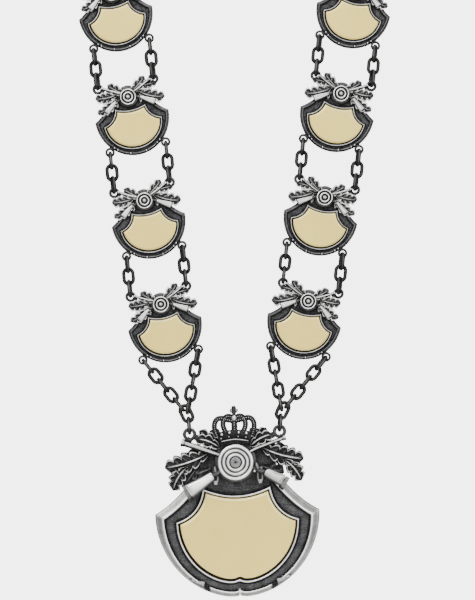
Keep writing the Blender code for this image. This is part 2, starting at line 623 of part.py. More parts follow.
def plan_side():
    """Places of one side's pieces, left as it is seen, from its pendant eye: x runs outwards.

    Everything is worked out for the left side, in the front plane, and mirrored for the right.
    """
    plan = {"plaques": [], "strands": []}
    drop_low = Vector((0, 0, PENDANT_SEAT))
    drop_high = drop_low + tilted(0, 2 * BAR, DROP_LEAN)
    plan["drop"] = (drop_low, drop_high)
    shared = drop_high + tilted(0, SHARED_BAR - HOOK, SHARED_LINK_TILT)
    plan["low_shared"] = (shared, SHARED_LINK_TILT)
    outer_hook = shared + tilted(-SIDE_SLACK, FIRST_BAR, SHARED_LINK_TILT)
    inner_hook = shared + tilted(SIDE_SLACK, SECOND_BAR, SHARED_LINK_TILT)
    reach = LONG_STRAND + LOWER_SEAT
    eyes = [tilted(side * PLAQUE_EYE_SPREAD, -LOWER_EYE_DROP, PLAQUE_TILT) for side in (-1, 1)]
    plaque = meet(outer_hook - eyes[0], inner_hook - eyes[1], reach)
    for name, hook, eye in (("outer", outer_hook, eyes[0]), ("inner", inner_hook, eyes[1])):
        end = plaque + eye
        end += (hook - end).normalized() * LOWER_SEAT
        plan["strands"].append(("low_" + name, hook, end, LONG_STRAND_LINKS))
    for row in range(PLAQUES_A_SIDE):
        number = PLAQUES_A_SIDE - row
        plan["plaques"].append((number, plaque))
        if row == PLAQUES_A_SIDE - 1:
            break
        lean = tilted(0, 1, STRAND_LEAN)
        reach = SHORT_STRAND + PLAQUE_SEAT + LOWER_SEAT
        above = (plaque + tilted(0, UPPER_EYE_RISE, PLAQUE_TILT) + lean * reach
                 + tilted(0, LOWER_EYE_DROP, PLAQUE_TILT))
        for side, name in ((-1, "outer"), (1, "inner")):
            low = plaque + tilted(side * PLAQUE_EYE_SPREAD, UPPER_EYE_RISE, PLAQUE_TILT)
            high = above + tilted(side * PLAQUE_EYE_SPREAD, -LOWER_EYE_DROP, PLAQUE_TILT)
            plan["strands"].append((f"mid{number}_{name}", low + lean * PLAQUE_SEAT,
                                    high - lean * LOWER_SEAT, SHORT_STRAND_LINKS))
        plaque = above
    eyes = [plaque + tilted(side * PLAQUE_EYE_SPREAD, UPPER_EYE_RISE, PLAQUE_TILT)
            for side in (-1, 1)]
    outer_offset = tilted(-SIDE_SLACK, -FIRST_BAR, PLAQUE_TILT)
    inner_offset = tilted(SIDE_SLACK, -SECOND_BAR, PLAQUE_TILT)
    shared = meet(eyes[0] - outer_offset, eyes[1] - inner_offset, LONG_STRAND + PLAQUE_SEAT)
    plan["top_shared"] = (shared, PLAQUE_TILT)
    for name, eye, offset in (("outer", eyes[0], outer_offset), ("inner", eyes[1], inner_offset)):
        hook = shared + offset
        start = eye + (hook - eye).normalized() * PLAQUE_SEAT
        plan["strands"].append(("top_" + name, start, hook, LONG_STRAND_LINKS))
    crown = shared + tilted(0, SHARED_BAR, PLAQUE_TILT)
    first = Vector((-NECK_ROUTE[0][0] + PENDANT_EYE_SPREAD, *NECK_ROUTE[0][1:]))
    plan["neck_start"] = crown - (first - crown).normalized() * HOOK
    return plan


def smooth_route(points, steps):
    """Many points on a smooth curve through a few, by Catmull and Rom."""
    ends = [points[0] * 2 - points[1]] + points + [points[-1] * 2 - points[-2]]
    route = []
    for index in range(1, len(ends) - 2):
        before, start, end, after = ends[index - 1:index + 3]
        for step in range(steps):
            at = step / steps
            route.append(0.5 * (2 * start + (end - before) * at
                                + (2 * before - 5 * start + 4 * end - after) * at ** 2
                                + (3 * start - before - 3 * end + after) * at ** 3))
    route.append(ends[-2])
    return route


def neck_places(starts):
    """Groups of places for the neck chain's links, from the left shoulder to the right one."""
    half = [Vector(point) for point in NECK_ROUTE]
    left = [Vector((-point.x, point.y, point.z)) for point in half]
    route = smooth_route([starts[-1]] + left + half[-2::-1] + [starts[1]], 24)
    lengths = [0.0]
    for before, after in zip(route, route[1:]):
        lengths.append(lengths[-1] + (after - before).length)
    room = lengths[-1] - 2 * BAR
    loose = NECK_STRANDS - 1
    count = int((room - loose * LOOSE_PITCH) / TIGHT_PITCH) + loose + 1
    count -= 1 - count % 2      # odd, so that both end links stand edge-on in the shared links
    step = (room - loose * LOOSE_PITCH) / (count - 1 - loose)
    breaks = {round(count * (index + 1) / NECK_STRANDS) for index in range(loose)}

    def at(distance):
        index = next(i for i, reached in enumerate(lengths) if reached >= distance)
        index = max(index, 1)
        share = (distance - lengths[index - 1]) / (lengths[index] - lengths[index - 1])
        return route[index - 1].lerp(route[index], share)

    groups = [[]]
    reached = BAR
    facing = Vector((0, -1, 0))
    for index in range(count):
        if index:
            reached += LOOSE_PITCH if index in breaks else step
        if index in breaks:
            groups.append([])
        along = (at(min(reached + BAR, lengths[-1])) - at(max(reached - BAR, 0))).normalized()
        facing = (facing - along * facing.dot(along)).normalized()
        faces = facing if index % 2 else along.cross(facing)
        groups[-1].append(link_matrix(at(reached), along, faces))
    return groups


def build():
    """Makes every piece of the chain."""
    for old in list(bpy.data.objects):
        bpy.data.objects.remove(old)
    chain = bpy.data.collections.new("king_chain")
    bpy.context.scene.collection.children.link(chain)
    silver = make_material("antique_silver", SILVER, 1.0, 0.4)
    dark = make_material("darkened_silver_links", DARK_SILVER, 1.0, 0.45)
    gold = make_material("matt_gold_plate", GOLD, 1.0, 0.5)

    link = link_mesh(BAR)
    shared_link = link_mesh(SHARED_BAR)
    casting, plate = plaque_meshes(chain)
    castings = {-1: casting, 1: mirrored(casting)}
    for mesh in castings.values():
        mesh.materials.clear()
        mesh.materials.append(silver)
    plate.materials.append(gold)

    base = -NAPE
    plan = plan_side()
    starts = {}
    for side, word in ((-1, "left"), (1, "right")):
        corner = base + tilted(side * PENDANT_EYE_SPREAD, 0, PENDANT_TILT)
        flip = Matrix.Diagonal((-side, 1, 1, 1))

        def place(point):
            return corner + flip @ point

        for number, middle in plan["plaques"]:
            turn = Matrix.Rotation(math.radians(side * PLAQUE_TILT), 4, "Y")
            put = Matrix.Translation(place(middle) + Vector((0, PLAQUE_DEPTHS["eye"], 0))) @ turn
            for name, mesh in (("plaque", castings[side]), ("plate", plate)):
                piece = new_object(f"{name}_{word}_{number}", mesh, chain)
                piece.matrix_world = put
        for name, start, end, count in plan["strands"]:
            places = strand_matrices(place(start), place(end), count, False)
            add_strand(f"strand_{word}_{name}", places, link, chain, dark)
        low, high = plan["drop"]
        drop = strand_matrices(place(low), place(high), 2, False)[:1]
        add_strand(f"drop_link_{word}", drop, link, chain, dark)
        for name in ("low_shared", "top_shared"):
            middle, degrees = plan[name]
            along = flip @ tilted(0, 1, degrees)
            where = link_matrix(place(middle), along, Vector((0, -1, 0)))
            add_strand(f"{name}_link_{word}", [where], shared_link, chain, dark)
        starts[side] = place(plan["neck_start"]) - base
    for index, places in enumerate(neck_places(starts)):
        places = [Matrix.Translation(base) @ where for where in places]
        add_strand(f"neck_strand_{index + 1}", places, link, chain, dark)

    hinge = bpy.data.objects.new("pendant_hinge", None)
    chain.objects.link(hinge)
    turn = Matrix.Rotation(math.radians(-PENDANT_TILT), 4, "Y")
    hinge.matrix_world = (Matrix.Translation(base) @ turn
                          @ Matrix.Translation((0, 0, PENDANT_EYE_RING)))
    put = (Matrix.Translation(base) @ turn
           @ Matrix.Translation((0, PENDANT_DEPTHS["eye"], -PENDANT_EYE_RISE)))
    bpy.context.view_layer.update()
    for name, mesh in pendant_meshes(chain).items():
        mesh.materials.clear()
        mesh.materials.append(gold if name == "plate" else silver)
        piece = new_object("pendant_" + name, mesh, chain)
        piece.parent = hinge
        piece.matrix_parent_inverse = hinge.matrix_world.inverted()
        piece.matrix_world = put
    bpy.context.view_layer.update()


build()
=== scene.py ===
# King chain of a shooting club, finished for its picture: antique silver castings, darkened
# links and blank gold-coloured plates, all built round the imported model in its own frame.
import math
import random

import bmesh
import bpy
import numpy
from mathutils import Euler, Matrix, Vector
from mathutils.bvhtree import BVHTree


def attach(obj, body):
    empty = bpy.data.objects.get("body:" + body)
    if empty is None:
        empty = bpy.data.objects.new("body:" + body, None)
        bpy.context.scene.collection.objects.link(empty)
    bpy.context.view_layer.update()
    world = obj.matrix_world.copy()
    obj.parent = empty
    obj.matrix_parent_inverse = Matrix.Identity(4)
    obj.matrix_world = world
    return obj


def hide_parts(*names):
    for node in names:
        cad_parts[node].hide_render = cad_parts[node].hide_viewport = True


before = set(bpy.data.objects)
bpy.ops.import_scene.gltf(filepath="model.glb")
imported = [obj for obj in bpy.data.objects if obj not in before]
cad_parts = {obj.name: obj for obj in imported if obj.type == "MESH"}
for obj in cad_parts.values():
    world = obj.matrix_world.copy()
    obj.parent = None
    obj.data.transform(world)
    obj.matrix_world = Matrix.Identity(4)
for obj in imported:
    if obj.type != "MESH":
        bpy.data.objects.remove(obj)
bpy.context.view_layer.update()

mm = 0.001


def lay(across, up, depth):
    # a place on a casting, in mm, as a point of the frame: a casting's front faces -Y
    return Vector((across * mm, -depth * mm, up * mm))


def tilted(across, up, degrees):
    # in the front plane, mm; plus leans the top to the left
    angle = math.radians(degrees)
    return Vector((across * math.cos(angle) - up * math.sin(angle),
                   across * math.sin(angle) + up * math.cos(angle)))


def clamped(value):
    # kept between 0 and 1
    return min(1.0, max(0.0, value))


def unitCircle(count):
    # even steps round a circle
    return [(math.cos(2 * math.pi * step / count), math.sin(2 * math.pi * step / count))
            for step in range(count)]


def addObject(name, data):
    item = bpy.data.objects.new(name, data)
    bpy.context.scene.collection.objects.link(item)
    return item


def mirrored(stations, side):
    # stations of a right half on the side asked for, -1 for the left
    return [(side * across, *rest) for across, *rest in stations]


# Nodes and materials.

def addNode(tree, kind, inputs=None, **settings):
    # one node with its settings; an input takes a value or another node's socket
    node = tree.nodes.new(kind)
    for name, value in settings.items():
        setattr(node, name, value)
    for key, value in (inputs or {}).items():
        if isinstance(value, bpy.types.NodeSocket):
            tree.links.new(value, node.inputs[key])
        else:
            node.inputs[key].default_value = value
    return node


def hexColour(text):
    # an sRGB hex colour as linear values
    channels = [int(text[start:start + 2], 16) / 255 for start in (1, 3, 5)]
    return [c / 12.92 if c <= 0.04045 else ((c + 0.055) / 1.055) ** 2.4 for c in channels] + [1]


def newMaterial(name):
    material = bpy.data.materials.new(name)
    material.use_nodes = True
    return material, material.node_tree, material.node_tree.nodes["Principled BSDF"]


def addRamp(tree, factor, stops):
    ramp = addNode(tree, "ShaderNodeValToRGB", {"Fac": factor})
    while len(ramp.color_ramp.elements) < len(stops):
        ramp.color_ramp.elements.new(0.5)
    for element, (place, colour) in zip(ramp.color_ramp.elements, stops):
        element.position = place
        element.color = hexColour(colour) if isinstance(colour, str) else [colour] * 3 + [1]
    return ramp.outputs["Color"]


def addMath(tree, operation, *values, clamp=False):
    return addNode(tree, "ShaderNodeMath", dict(enumerate(values)), operation=operation,
                   use_clamp=clamp).outputs["Value"]


def addNoise(tree, place, size, detail, roughness=0.5):
    # noise with patches of a size in mm
    return addNode(tree, "ShaderNodeTexNoise", {
        "Vector": place, "Scale": 1 / (size * mm), "Detail": detail,
        "Roughness": roughness}).outputs["Fac"]


def addRange(tree, value, start, end, low=0.0, high=1.0):
    # low where the value is at its start, high where it reaches its end
    return addNode(tree, "ShaderNodeMapRange", {
        "Value": value, "From Min": start, "From Max": end, "To Min": low,
        "To Max": high}).outputs["Result"]


def addMix(tree, factor, first, second):
    return addNode(tree, "ShaderNodeMix", {"Factor": factor, 6: first, 7: second},
                   data_type="RGBA").outputs[2]


def addBump(tree, shader, height, strength, distance):
    # relief too fine to model, its height in mm
    bump = addNode(tree, "ShaderNodeBump", {"Height": height, "Strength": strength,
                                            "Distance": distance * mm})
    tree.links.new(bump.outputs["Normal"], shader.inputs["Normal"])


def newFinish(name):
    # a material, the places on its piece, and how far each place is rubbed, with painted shade
    # and painted light already mixed into that value
    material, tree, shader = newMaterial(name)
    place = addNode(tree, "ShaderNodeTexCoord").outputs["Object"]
    polishLightAndShade = addNode(tree, "ShaderNodeAttribute", attribute_name="polishLightAndShade").outputs["Fac"]
    return material, tree, shader, place, polishLightAndShade


# Cast silver plate, dipped in a blackening bath and rubbed back: black-grey and grainy in the
# recesses, soft grey on the flanks, near white where a hand or cloth reaches. The tone attribute
# says where, and it also carries painted shade, darker in corners and between parts, and painted
# light on the flanks of bars that face up.
silverFinish = {
    "tones": [(0.0, "#19191a"), (0.14, "#363637"), (0.3, "#4e4e4f"), (0.46, "#747473"),
              (0.62, "#a3a3a1"), (0.8, "#d4d4d1"), (1.0, "#f7f7f4")],
    "dullness": [(0.0, 0.70), (0.45, 0.46), (0.8, 0.34), (1.0, 0.28)],
    "grain": 0.8,         # mm, sand grain of the mould
    "stain": 5.0,         # mm, patches of the blackening
    "scratch": 0.9,       # mm between fine rub marks
    "streak": (0.12, 1.0, 1.0), "slant": (0.3, 0.2, 0.5),  # the rub marks' stretch and turn
    # how far grain, patches and rub marks change the tone
    "speckle": 0.7, "patches": 0.3, "rub": 0.16,
    "recess": (0.1, 0.6, 1.0, 0.15),  # the grain is full up to one tone, and faint from another
    "cast": 0.12, "bump": 0.55,       # mm, height of the sand grain, and its strength
    "metal": 0.9,
}


def makeSilver(name, finish):
    material, tree, shader, place, polishLightAndShade = newFinish(name)
    grain = addNoise(tree, place, finish["grain"], 3.0, 0.65)
    stain = addNoise(tree, place, finish["stain"], 4.0, 0.6)
    stretch = addNode(tree, "ShaderNodeMapping", {
        "Vector": place, "Rotation": finish["slant"], "Scale": finish["streak"]})
    scratch = addNoise(tree, stretch.outputs["Vector"], finish["scratch"], 2.0, 0.7)
    speckle, cloud, rub = [addMath(tree, "SUBTRACT", noise, 0.5)
                           for noise in (grain, stain, scratch)]
    recess = addRange(tree, polishLightAndShade, *finish["recess"])
    speckle = addMath(tree, "MULTIPLY", speckle, recess)
    # the rubbed value here also holds painted shade and painted light
    worn = addMath(tree, "MULTIPLY_ADD", speckle, finish["speckle"], polishLightAndShade)
    worn = addMath(tree, "MULTIPLY_ADD", cloud, finish["patches"], worn)
    worn = addMath(tree, "MULTIPLY_ADD", rub, finish["rub"], worn, clamp=True)
    tree.links.new(addRamp(tree, worn, finish["tones"]), shader.inputs["Base Color"])
    tree.links.new(addRamp(tree, worn, finish["dullness"]), shader.inputs["Roughness"])
    shader.inputs["Metallic"].default_value = finish["metal"]
    addBump(tree, shader, addMath(tree, "MULTIPLY", grain, recess), finish["bump"],
            finish["cast"])
    return material


# Blackened silvered wire: nearly black between the links, where painted shade adds to the
# blackening, brown-grey on their flanks, and lighter along the outside of each bend, partly
# rubbed wear and partly a painted highlight.
linkFinish = silverFinish | {
    "tones": [(0.0, "#0f0f0f"), (0.25, "#232322"), (0.5, "#444341"), (0.75, "#93908b"),
              (1.0, "#e4e0da")],
    "dullness": [(0.0, 0.62), (0.5, 0.40), (1.0, 0.28)],
    "grain": 0.6, "stain": 6.0, "scratch": 0.8, "speckle": 0.1, "patches": 0.22,
    "cast": 0.02,
}

# Thin anodised aluminium or brass engraving plate in matt champagne gold: fine pale grain, no
# mirror image in it, and a bright cut edge that is partly real cut metal and partly a painted
# highlight.
plateFinish = {
    "tones": [(0.0, "#dcc05a"), (0.5, "#e6ce6a"), (1.0, "#eedb7e")],
    # the edge colour is partly bright cut metal and partly a painted highlight; the rim colour is
    # painted shade on the plate's outer wall in the groove
    "edge": "#fff0ac",
    "rim": "#8a6420",
    "grain": 0.5,         # mm, drawn coarser than the real 0.05 mm so that it shows
    "cloud": 14.0,        # mm, faint unevenness of the sheet
    "cloudShare": 0.45,
    # tones between which the cut edge brightens with a partly painted highlight, and the groove
    # round the plate darkens with painted shade
    "edgeAndHighlightTones": (0.55, 0.95), "grooveShadeTones": (0.30, 0.05),
    "relief": 0.03, "bump": 0.2,      # mm, height of the grain, and its strength
    "metal": 0.4, "dullness": 0.5,
}


def makePlateGold(name, finish):
    material, tree, shader, place, polishLightAndShade = newFinish(name)
    grain = addNoise(tree, place, finish["grain"], 2.0)
    cloud = addNoise(tree, place, finish["cloud"], 3.0)
    blend = addNode(tree, "ShaderNodeMix", {"Factor": finish["cloudShare"], 2: grain, 3: cloud},
                    data_type="FLOAT")
    sheet = addRamp(tree, blend.outputs[0], finish["tones"])
    # a partly painted highlight on the cut edge, and painted shade in the groove round the plate
    edge = addRange(tree, polishLightAndShade, *finish["edgeAndHighlightTones"])
    rim = addRange(tree, polishLightAndShade, *finish["grooveShadeTones"])
    bright = addMix(tree, edge, sheet, hexColour(finish["edge"]))
    tree.links.new(addMix(tree, rim, bright, hexColour(finish["rim"])),
                   shader.inputs["Base Color"])
    shader.inputs["Metallic"].default_value = finish["metal"]
    shader.inputs["Roughness"].default_value = finish["dullness"]
    addBump(tree, shader, grain, finish["bump"], finish["relief"])
    return material


antiqueSilver = makeSilver("antiqueSilverCasting", silverFinish)
darkenedWire = makeSilver("darkenedSilverWire", linkFinish)
plateGold = makePlateGold("mattGoldPlate", plateFinish)
print("materials made")


# Shapes: points, faces and a tone for each point, from 0 in a recess to 1 on a worn edge; some
# tones also hold painted light and shade.

def newShape():
    return {"points": [], "faces": [], "tones": []}


def addRings(shape, rows, tones, capped=True):
    # a skin through closed rows of one count
    first = len(shape["points"])
    count = len(rows[0])
    for row, tone in zip(rows, tones):
        shape["points"] += row
        shape["tones"] += list(tone) if isinstance(tone, (list, tuple)) else [tone] * count
    for low in range(len(rows) - 1):
        for index in range(count):
            after = (index + 1) % count
            a = first + low * count
            shape["faces"].append((a + index, a + after, a + count + after, a + count + index))
    if capped:
        shape["faces"].append(tuple(range(first, first + count)))
        last = first + (len(rows) - 1) * count
        shape["faces"].append(tuple(range(last, last + count)))


def addMesh(shape, mesh, tone):
    first = len(shape["points"])
    shape["points"] += [vertex.co.copy() for vertex in mesh.vertices]
    shape["tones"] += [tone] * len(mesh.vertices)
    shape["faces"] += [tuple(first + corner for corner in face.vertices)
                       for face in mesh.polygons]
    bpy.data.meshes.remove(mesh)


def readRows(items, name, width, kind=float):
    # one property of all vertices or edges, a row for each
    values = numpy.empty(len(items) * width, dtype=kind)
    items.foreach_get(name, values)
    return values.reshape(-1, width)


# the rays that look for corners: their number, the golden angle between them in radians, and
# how far off the skin they start, as a share of their reach
cornerRays = {"count": 14, "angle": 2.399963, "lift": 0.02}


def ageingAndShading(mesh, tones, wearAndShade):
    # how bright each point is: its tone, more on ridges where it is rubbed, and less in corners and
    # between parts, which are looked for over the reach in mm; that darkening is partly patina in
    # the hollows and partly painted shade
    reach = wearAndShade["reach"] * mm
    count = len(mesh.vertices)
    points = readRows(mesh.vertices, "co", 3)
    normals = readRows(mesh.vertex_normals, "vector", 3)
    edges = readRows(mesh.edges, "vertices", 2, int)
    both = numpy.concatenate([edges, edges[:, ::-1]])
    degree = numpy.maximum(numpy.bincount(both[:, 0], minlength=count), 1)
    length = numpy.linalg.norm(points[both[:, 0]] - points[both[:, 1]], axis=1)
    spacing = numpy.bincount(both[:, 0], length, count) / degree + 1e-9

    def neighbours(values):
        return numpy.bincount(both[:, 0], values[both[:, 1]], count) / degree

    middle = numpy.stack([neighbours(points[:, axis]) for axis in range(3)], axis=1)
    ridge = numpy.einsum("ij,ij->i", normals, points - middle) / spacing
    ridge = 0.5 * ridge + 0.5 * neighbours(ridge)
    tree = BVHTree.FromPolygons([Vector(p) for p in points], [p.vertices for p in mesh.polygons])
    rays = []
    for index in range(cornerRays["count"]):
        height = math.sqrt(1 - (index + 0.5) / cornerRays["count"])
        angle = index * cornerRays["angle"]
        out = math.sqrt(1 - height * height)
        rays.append(Vector((out * math.cos(angle), out * math.sin(angle), height)))
    # painted shade: each point is darkened by how much nearby surface closes it in
    shade = numpy.zeros(count)
    for index in range(count):
        normal = Vector(normals[index])
        turn = normal.to_track_quat("Z", "Y")
        start = Vector(points[index]) + normal * reach * cornerRays["lift"]
        total = 0.0
        for ray in rays:
            distance = tree.ray_cast(start, turn @ ray, reach)[3]
            if distance is not None:
                total += 1 - distance / reach
        shade[index] = total / len(rays)
    shade = 0.5 * shade + 0.5 * neighbours(shade)
    return numpy.clip(numpy.array(tones) + wearAndShade["ridge"] * ridge - wearAndShade["shade"] * shade, 0, 1)


def makeMesh(name, shape, material, wearAndShade=None):
    mesh = bpy.data.meshes.new(name)
    mesh.from_pydata(shape["points"], [], shape["faces"])
    form = bmesh.new()
    form.from_mesh(mesh)
    bmesh.ops.recalc_face_normals(form, faces=form.faces)
    form.to_mesh(mesh)
    form.free()
    mesh.polygons.foreach_set("use_smooth", [True] * len(mesh.polygons))
    # rubbed tones, with painted shade taken off in corners and between parts
    tones = ageingAndShading(mesh, shape["tones"], wearAndShade) if wearAndShade else shape["tones"]
    mesh.attributes.new("polishLightAndShade", "FLOAT", "POINT").data.foreach_set("value", tones)
    mesh.materials.append(material)
    return mesh


def smoothRun(points, steps):
    # more points on a smooth run through the given ones, which may carry more than a place
    ends = [2 * points[0] - points[1]] + list(points) + [2 * points[-1] - points[-2]]
    run = []
    for index in range(1, len(ends) - 2):
        before, start, end, after = ends[index - 1:index + 3]
        for step in range(steps):
            at = step / steps
            run.append(0.5 * (2 * start + (end - before) * at
                              + (2 * before - 5 * start + 4 * end - after) * at ** 2
                              + (3 * start - before - 3 * end + after) * at ** 3))
    run.append(ends[-2])
    return run


def roundTones(count, side, front, groove=0.0):
    # tones round a bar: one on its sides and back, one where it faces forward, less in a groove
    tones = []
    for facing in [sine for cosine, sine in unitCircle(count)]:
        tone = side + (front - side) * clamped((facing - 0.4) / 0.4)
        tones.append(tone * (1 - groove) if facing > 0.85 else tone)
    return tones


def addRail(shape, stations, tone, sides=16, square=2.0, steps=4, sideTone=None):
    # a rounded bar along stations (across, up, depth, half width, half depth); a higher square
    # makes its section more like a box, and a side tone darkens its underside and flanks, partly as
    # unpolished metal and partly as painted shade
    stations = smoothRun([numpy.array(station, dtype=float) for station in stations], steps)
    side = tone if sideTone is None else sideTone
    rows = []
    tones = []
    for index, station in enumerate(stations):
        before = stations[max(index - 1, 0)][:2]
        after = stations[min(index + 1, len(stations) - 1)][:2]
        along = (after - before) / (numpy.linalg.norm(after - before) + 1e-9)
        row = []
        rowTones = []
        for cosine, sine in unitCircle(sides):
            wide = math.copysign(abs(cosine) ** (2 / square), cosine) * station[3]
            deep = math.copysign(abs(sine) ** (2 / square), sine)
            row.append(lay(station[0] - along[1] * wide, station[1] + along[0] * wide,
                           station[2] + deep * station[4]))
            # the front is lighter where a rubbing hand reaches it, and the flank that faces up is
            # lighter as painted light from above
            reached = 0.75 * sine + 0.55 * cosine * along[0]
            rowTones.append(side + (tone - side) * clamped((reached - 0.2) / 0.4))
        rows.append(row)
        tones.append(rowTones)
    addRings(shape, rows, tones)


def addEye(shape, ring, wire, centre, depth, tone=0.5, segments=32, sides=12, groove=0.0):
    rows = []
    for x, y in unitCircle(segments):
        row = []
        for across, rise in unitCircle(sides):
            out = ring + wire * across
            row.append(lay(centre[0] + out * x, centre[1] + out * y, depth + wire * rise))
        rows.append(row)
    addRings(shape, rows + rows[:1], [roundTones(sides, -0.1, tone, groove)] * (segments + 1),
             capped=False)


def addTurned(shape, profile, centre=(0, 0), segments=72):
    # rings of a turned piece from its back to its front: (radius, depth, tone)
    circle = unitCircle(segments)
    rows = [[lay(centre[0] + radius * x, centre[1] + radius * y, depth) for x, y in circle]
            for radius, depth, tone in profile]
    addRings(shape, rows, [row[2] for row in profile])


# what a leaf has where its own values and its bunch's style say nothing; sizes in mm
plainLeaf = {
    "lobes": 4, "bend": 0.0, "low": 0, "relief": 1.0, "droop": 0.9,
    "rib": 0.45, "hem": 0.5, "hemPlace": 0.8,           # widths, and the hem's share of the way out
    "shine": 0.6, "ribShine": 1.0, "veins": 0.3,        # brightness over the leaf's own tone
}


def addLeaf(shape, leaf, back, front, tone, rows=44, columns=22):
    # an oak leaf: deep lobes with a raised bright edge, a midrib and a vein to each lobe
    leaf = plainLeaf | leaf
    base = numpy.array(leaf["base"], dtype=float)
    tip = numpy.array(leaf["tip"], dtype=float)
    along = tip - base
    length = numpy.linalg.norm(along)
    side = numpy.array((-along[1], along[0])) / length
    lobes = leaf["lobes"]
    front -= leaf["low"]
    relief = leaf["relief"]
    skin = []
    tones = []
    for row in range(rows + 1):
        u = row / rows
        envelope = min(1.0, (u ** 0.55) * 1.5 + 0.08) * (1 - u ** 4.5) ** 0.5
        lobe = abs(math.sin(math.pi * (lobes * u + 0.1))) ** 0.55
        half = leaf["width"] * envelope * (0.42 + 0.58 * lobe) + 0.15
        middle = base + along * u + side * leaf["bend"] * length * 4 * u * (1 - u)
        droop = leaf["droop"] * u ** 2
        ring = []
        ringTones = []
        for column in range(columns + 1):
            v = 2 * column / columns - 1
            a = abs(v)
            rib = math.exp(-(a * half / leaf["rib"]) ** 2)
            edge = math.exp(-((a - leaf["hemPlace"]) * half / leaf["hem"]) ** 2)
            vein = max(0.0, math.cos(2 * math.pi * (lobes * u + 0.6 - 0.5 * a))) ** 6
            vein *= math.sin(math.pi * min(1.0, a * 1.1))
            high = relief * (0.45 * rib * (1 - 0.5 * u) + 0.38 * edge + 0.16 * vein
                             - 0.3 * math.sin(math.pi * a))
            if column in (0, columns):
                high -= 0.25 * relief
            sweep = 0.5 * half * a
            place = middle + side * v * half + along / length * sweep * (1 - u)
            ring.append(lay(place[0], place[1], front - droop + high))
            worn = max(leaf["ribShine"] * rib * min(1.0, 4 * u) * (1 - u ** 6), 0.9 * edge,
                       leaf["veins"] * vein)
            ringTones.append(tone * (1 - a ** 8) + leaf["shine"] * worn)
        for v in (1, -1):
            place = middle + side * v * half * 0.9
            ring.append(lay(place[0], place[1], back))
            ringTones.append(0.05)
        skin.append(ring)
        tones.append(ringTones)
    addRings(shape, skin, tones)


# Shield outlines, in runs: top edge, scooped shoulder, side down to the foot.

def crossing(first, second):
    # where two runs cross: the first part of one, and the last part of the other
    for i in range(len(first) - 1, 0, -1):
        a, b = first[i - 1], first[i]
        for j in range(1, len(second)):
            c, d = second[j - 1], second[j]
            r, s = b - a, d - c
            area = r[0] * s[1] - r[1] * s[0]
            if abs(area) < 1e-12:
                continue
            t = ((c - a)[0] * s[1] - (c - a)[1] * s[0]) / area
            u = ((c - a)[0] * r[1] - (c - a)[1] * r[0]) / area
            if 0 <= t <= 1 and 0 <= u <= 1:
                corner = a + r * t
                return first[:i] + [corner], [corner] + second[j:]
    middle = (first[-1] + second[0]) / 2
    return first[:-1] + [middle], [middle] + second[1:]


def resample(run, count):
    # count points at even spacing, without the last one
    steps = [0.0]
    for before, after in zip(run, run[1:]):
        steps.append(steps[-1] + numpy.linalg.norm(after - before))
    wanted = numpy.linspace(0, steps[-1], count + 1)[:-1]
    xs = numpy.interp(wanted, steps, [point[0] for point in run])
    ys = numpy.interp(wanted, steps, [point[1] for point in run])
    return [numpy.array(pair) for pair in zip(xs, ys)]


def shieldRuns(sizes):
    top = numpy.array((sizes["topHalf"], -sizes["topDrop"]))
    corner = numpy.array((sizes["half"], -sizes["cornerDrop"]))
    bend = numpy.array((top[0] + sizes["scoop"][0] * (corner[0] - top[0]),
                        corner[1] + sizes["scoop"][1] * (top[1] - corner[1])))
    first = []
    for step in range(15):
        x = top[0] * step / 14
        first.append(numpy.array((x, top[1] - sizes.get("topSag", 0)
                                  * (1 - (x / top[0]) ** 2))))
    second = [top * (1 - t) ** 2 + bend * 2 * t * (1 - t) + corner * t ** 2
              for t in numpy.linspace(0, 1, 25)]
    third = []
    for angle in numpy.linspace(0, math.pi / 2, 61):
        x = sizes["half"] * math.cos(angle)
        y = -sizes["cornerDrop"] - (sizes["foot"] - sizes["cornerDrop"]) * math.sin(angle)
        y += sizes.get("cusp", 0) * math.exp(-abs(x) / sizes.get("cuspWidth", 1))
        third.append(numpy.array((x, y)))
    return [first, second, third]


def moved(run, distance):
    # a run moved to its right by a distance, and made longer at both ends
    points = [run[0] - (run[1] - run[0])] + run + [run[-1] + (run[-1] - run[-2])]
    shifted = []
    for index in range(1, len(points) - 1):
        along = points[index + 1] - points[index - 1]
        along = along / numpy.linalg.norm(along)
        shifted.append(run[index - 1] + numpy.array((along[1], -along[0])) * distance)
    grow = abs(distance) * 2.5 + 0.5
    head = shifted[0] - shifted[1]
    tail = shifted[-1] - shifted[-2]
    return ([shifted[0] + head / numpy.linalg.norm(head) * grow] + shifted
            + [shifted[-1] + tail / numpy.linalg.norm(tail) * grow])


def shieldRing(sizes, distance, counts):
    # the closed outline, that distance inside the shield's edge
    first, second, third = [moved(run, distance) for run in shieldRuns(sizes)]
    first, second = crossing(first, second)
    second, third = crossing(second, third)
    first = [point for point in first if point[0] > 0]
    first = [numpy.array((0.0, first[0][1]))] + first
    kept = [point for point in third if point[0] > 0]
    third = kept + [numpy.array((0.0, kept[-1][1]))]
    half = (resample(first, counts[0]) + resample(second, counts[1])
            + resample(third, counts[2]))
    foot = third[-1]
    return half + [foot] + [numpy.array((-point[0], point[1])) for point in half[:0:-1]]


def rimRing(shield, distance, counts):
    # an outline inside the edge; a rim may be narrower at the foot than on the sides
    ring = shieldRing(shield, distance, counts)
    narrow = shieldRing(shield, distance * shield.get("footRim", 1.0), counts)
    blended = []
    for wide, slim in zip(ring, narrow):
        share = (-wide[1] - shield["cornerDrop"]) / (shield["foot"] - shield["cornerDrop"])
        share = clamped(share * 1.3 - 0.1)
        blended.append(wide * (1 - share) + slim * share)
    return blended


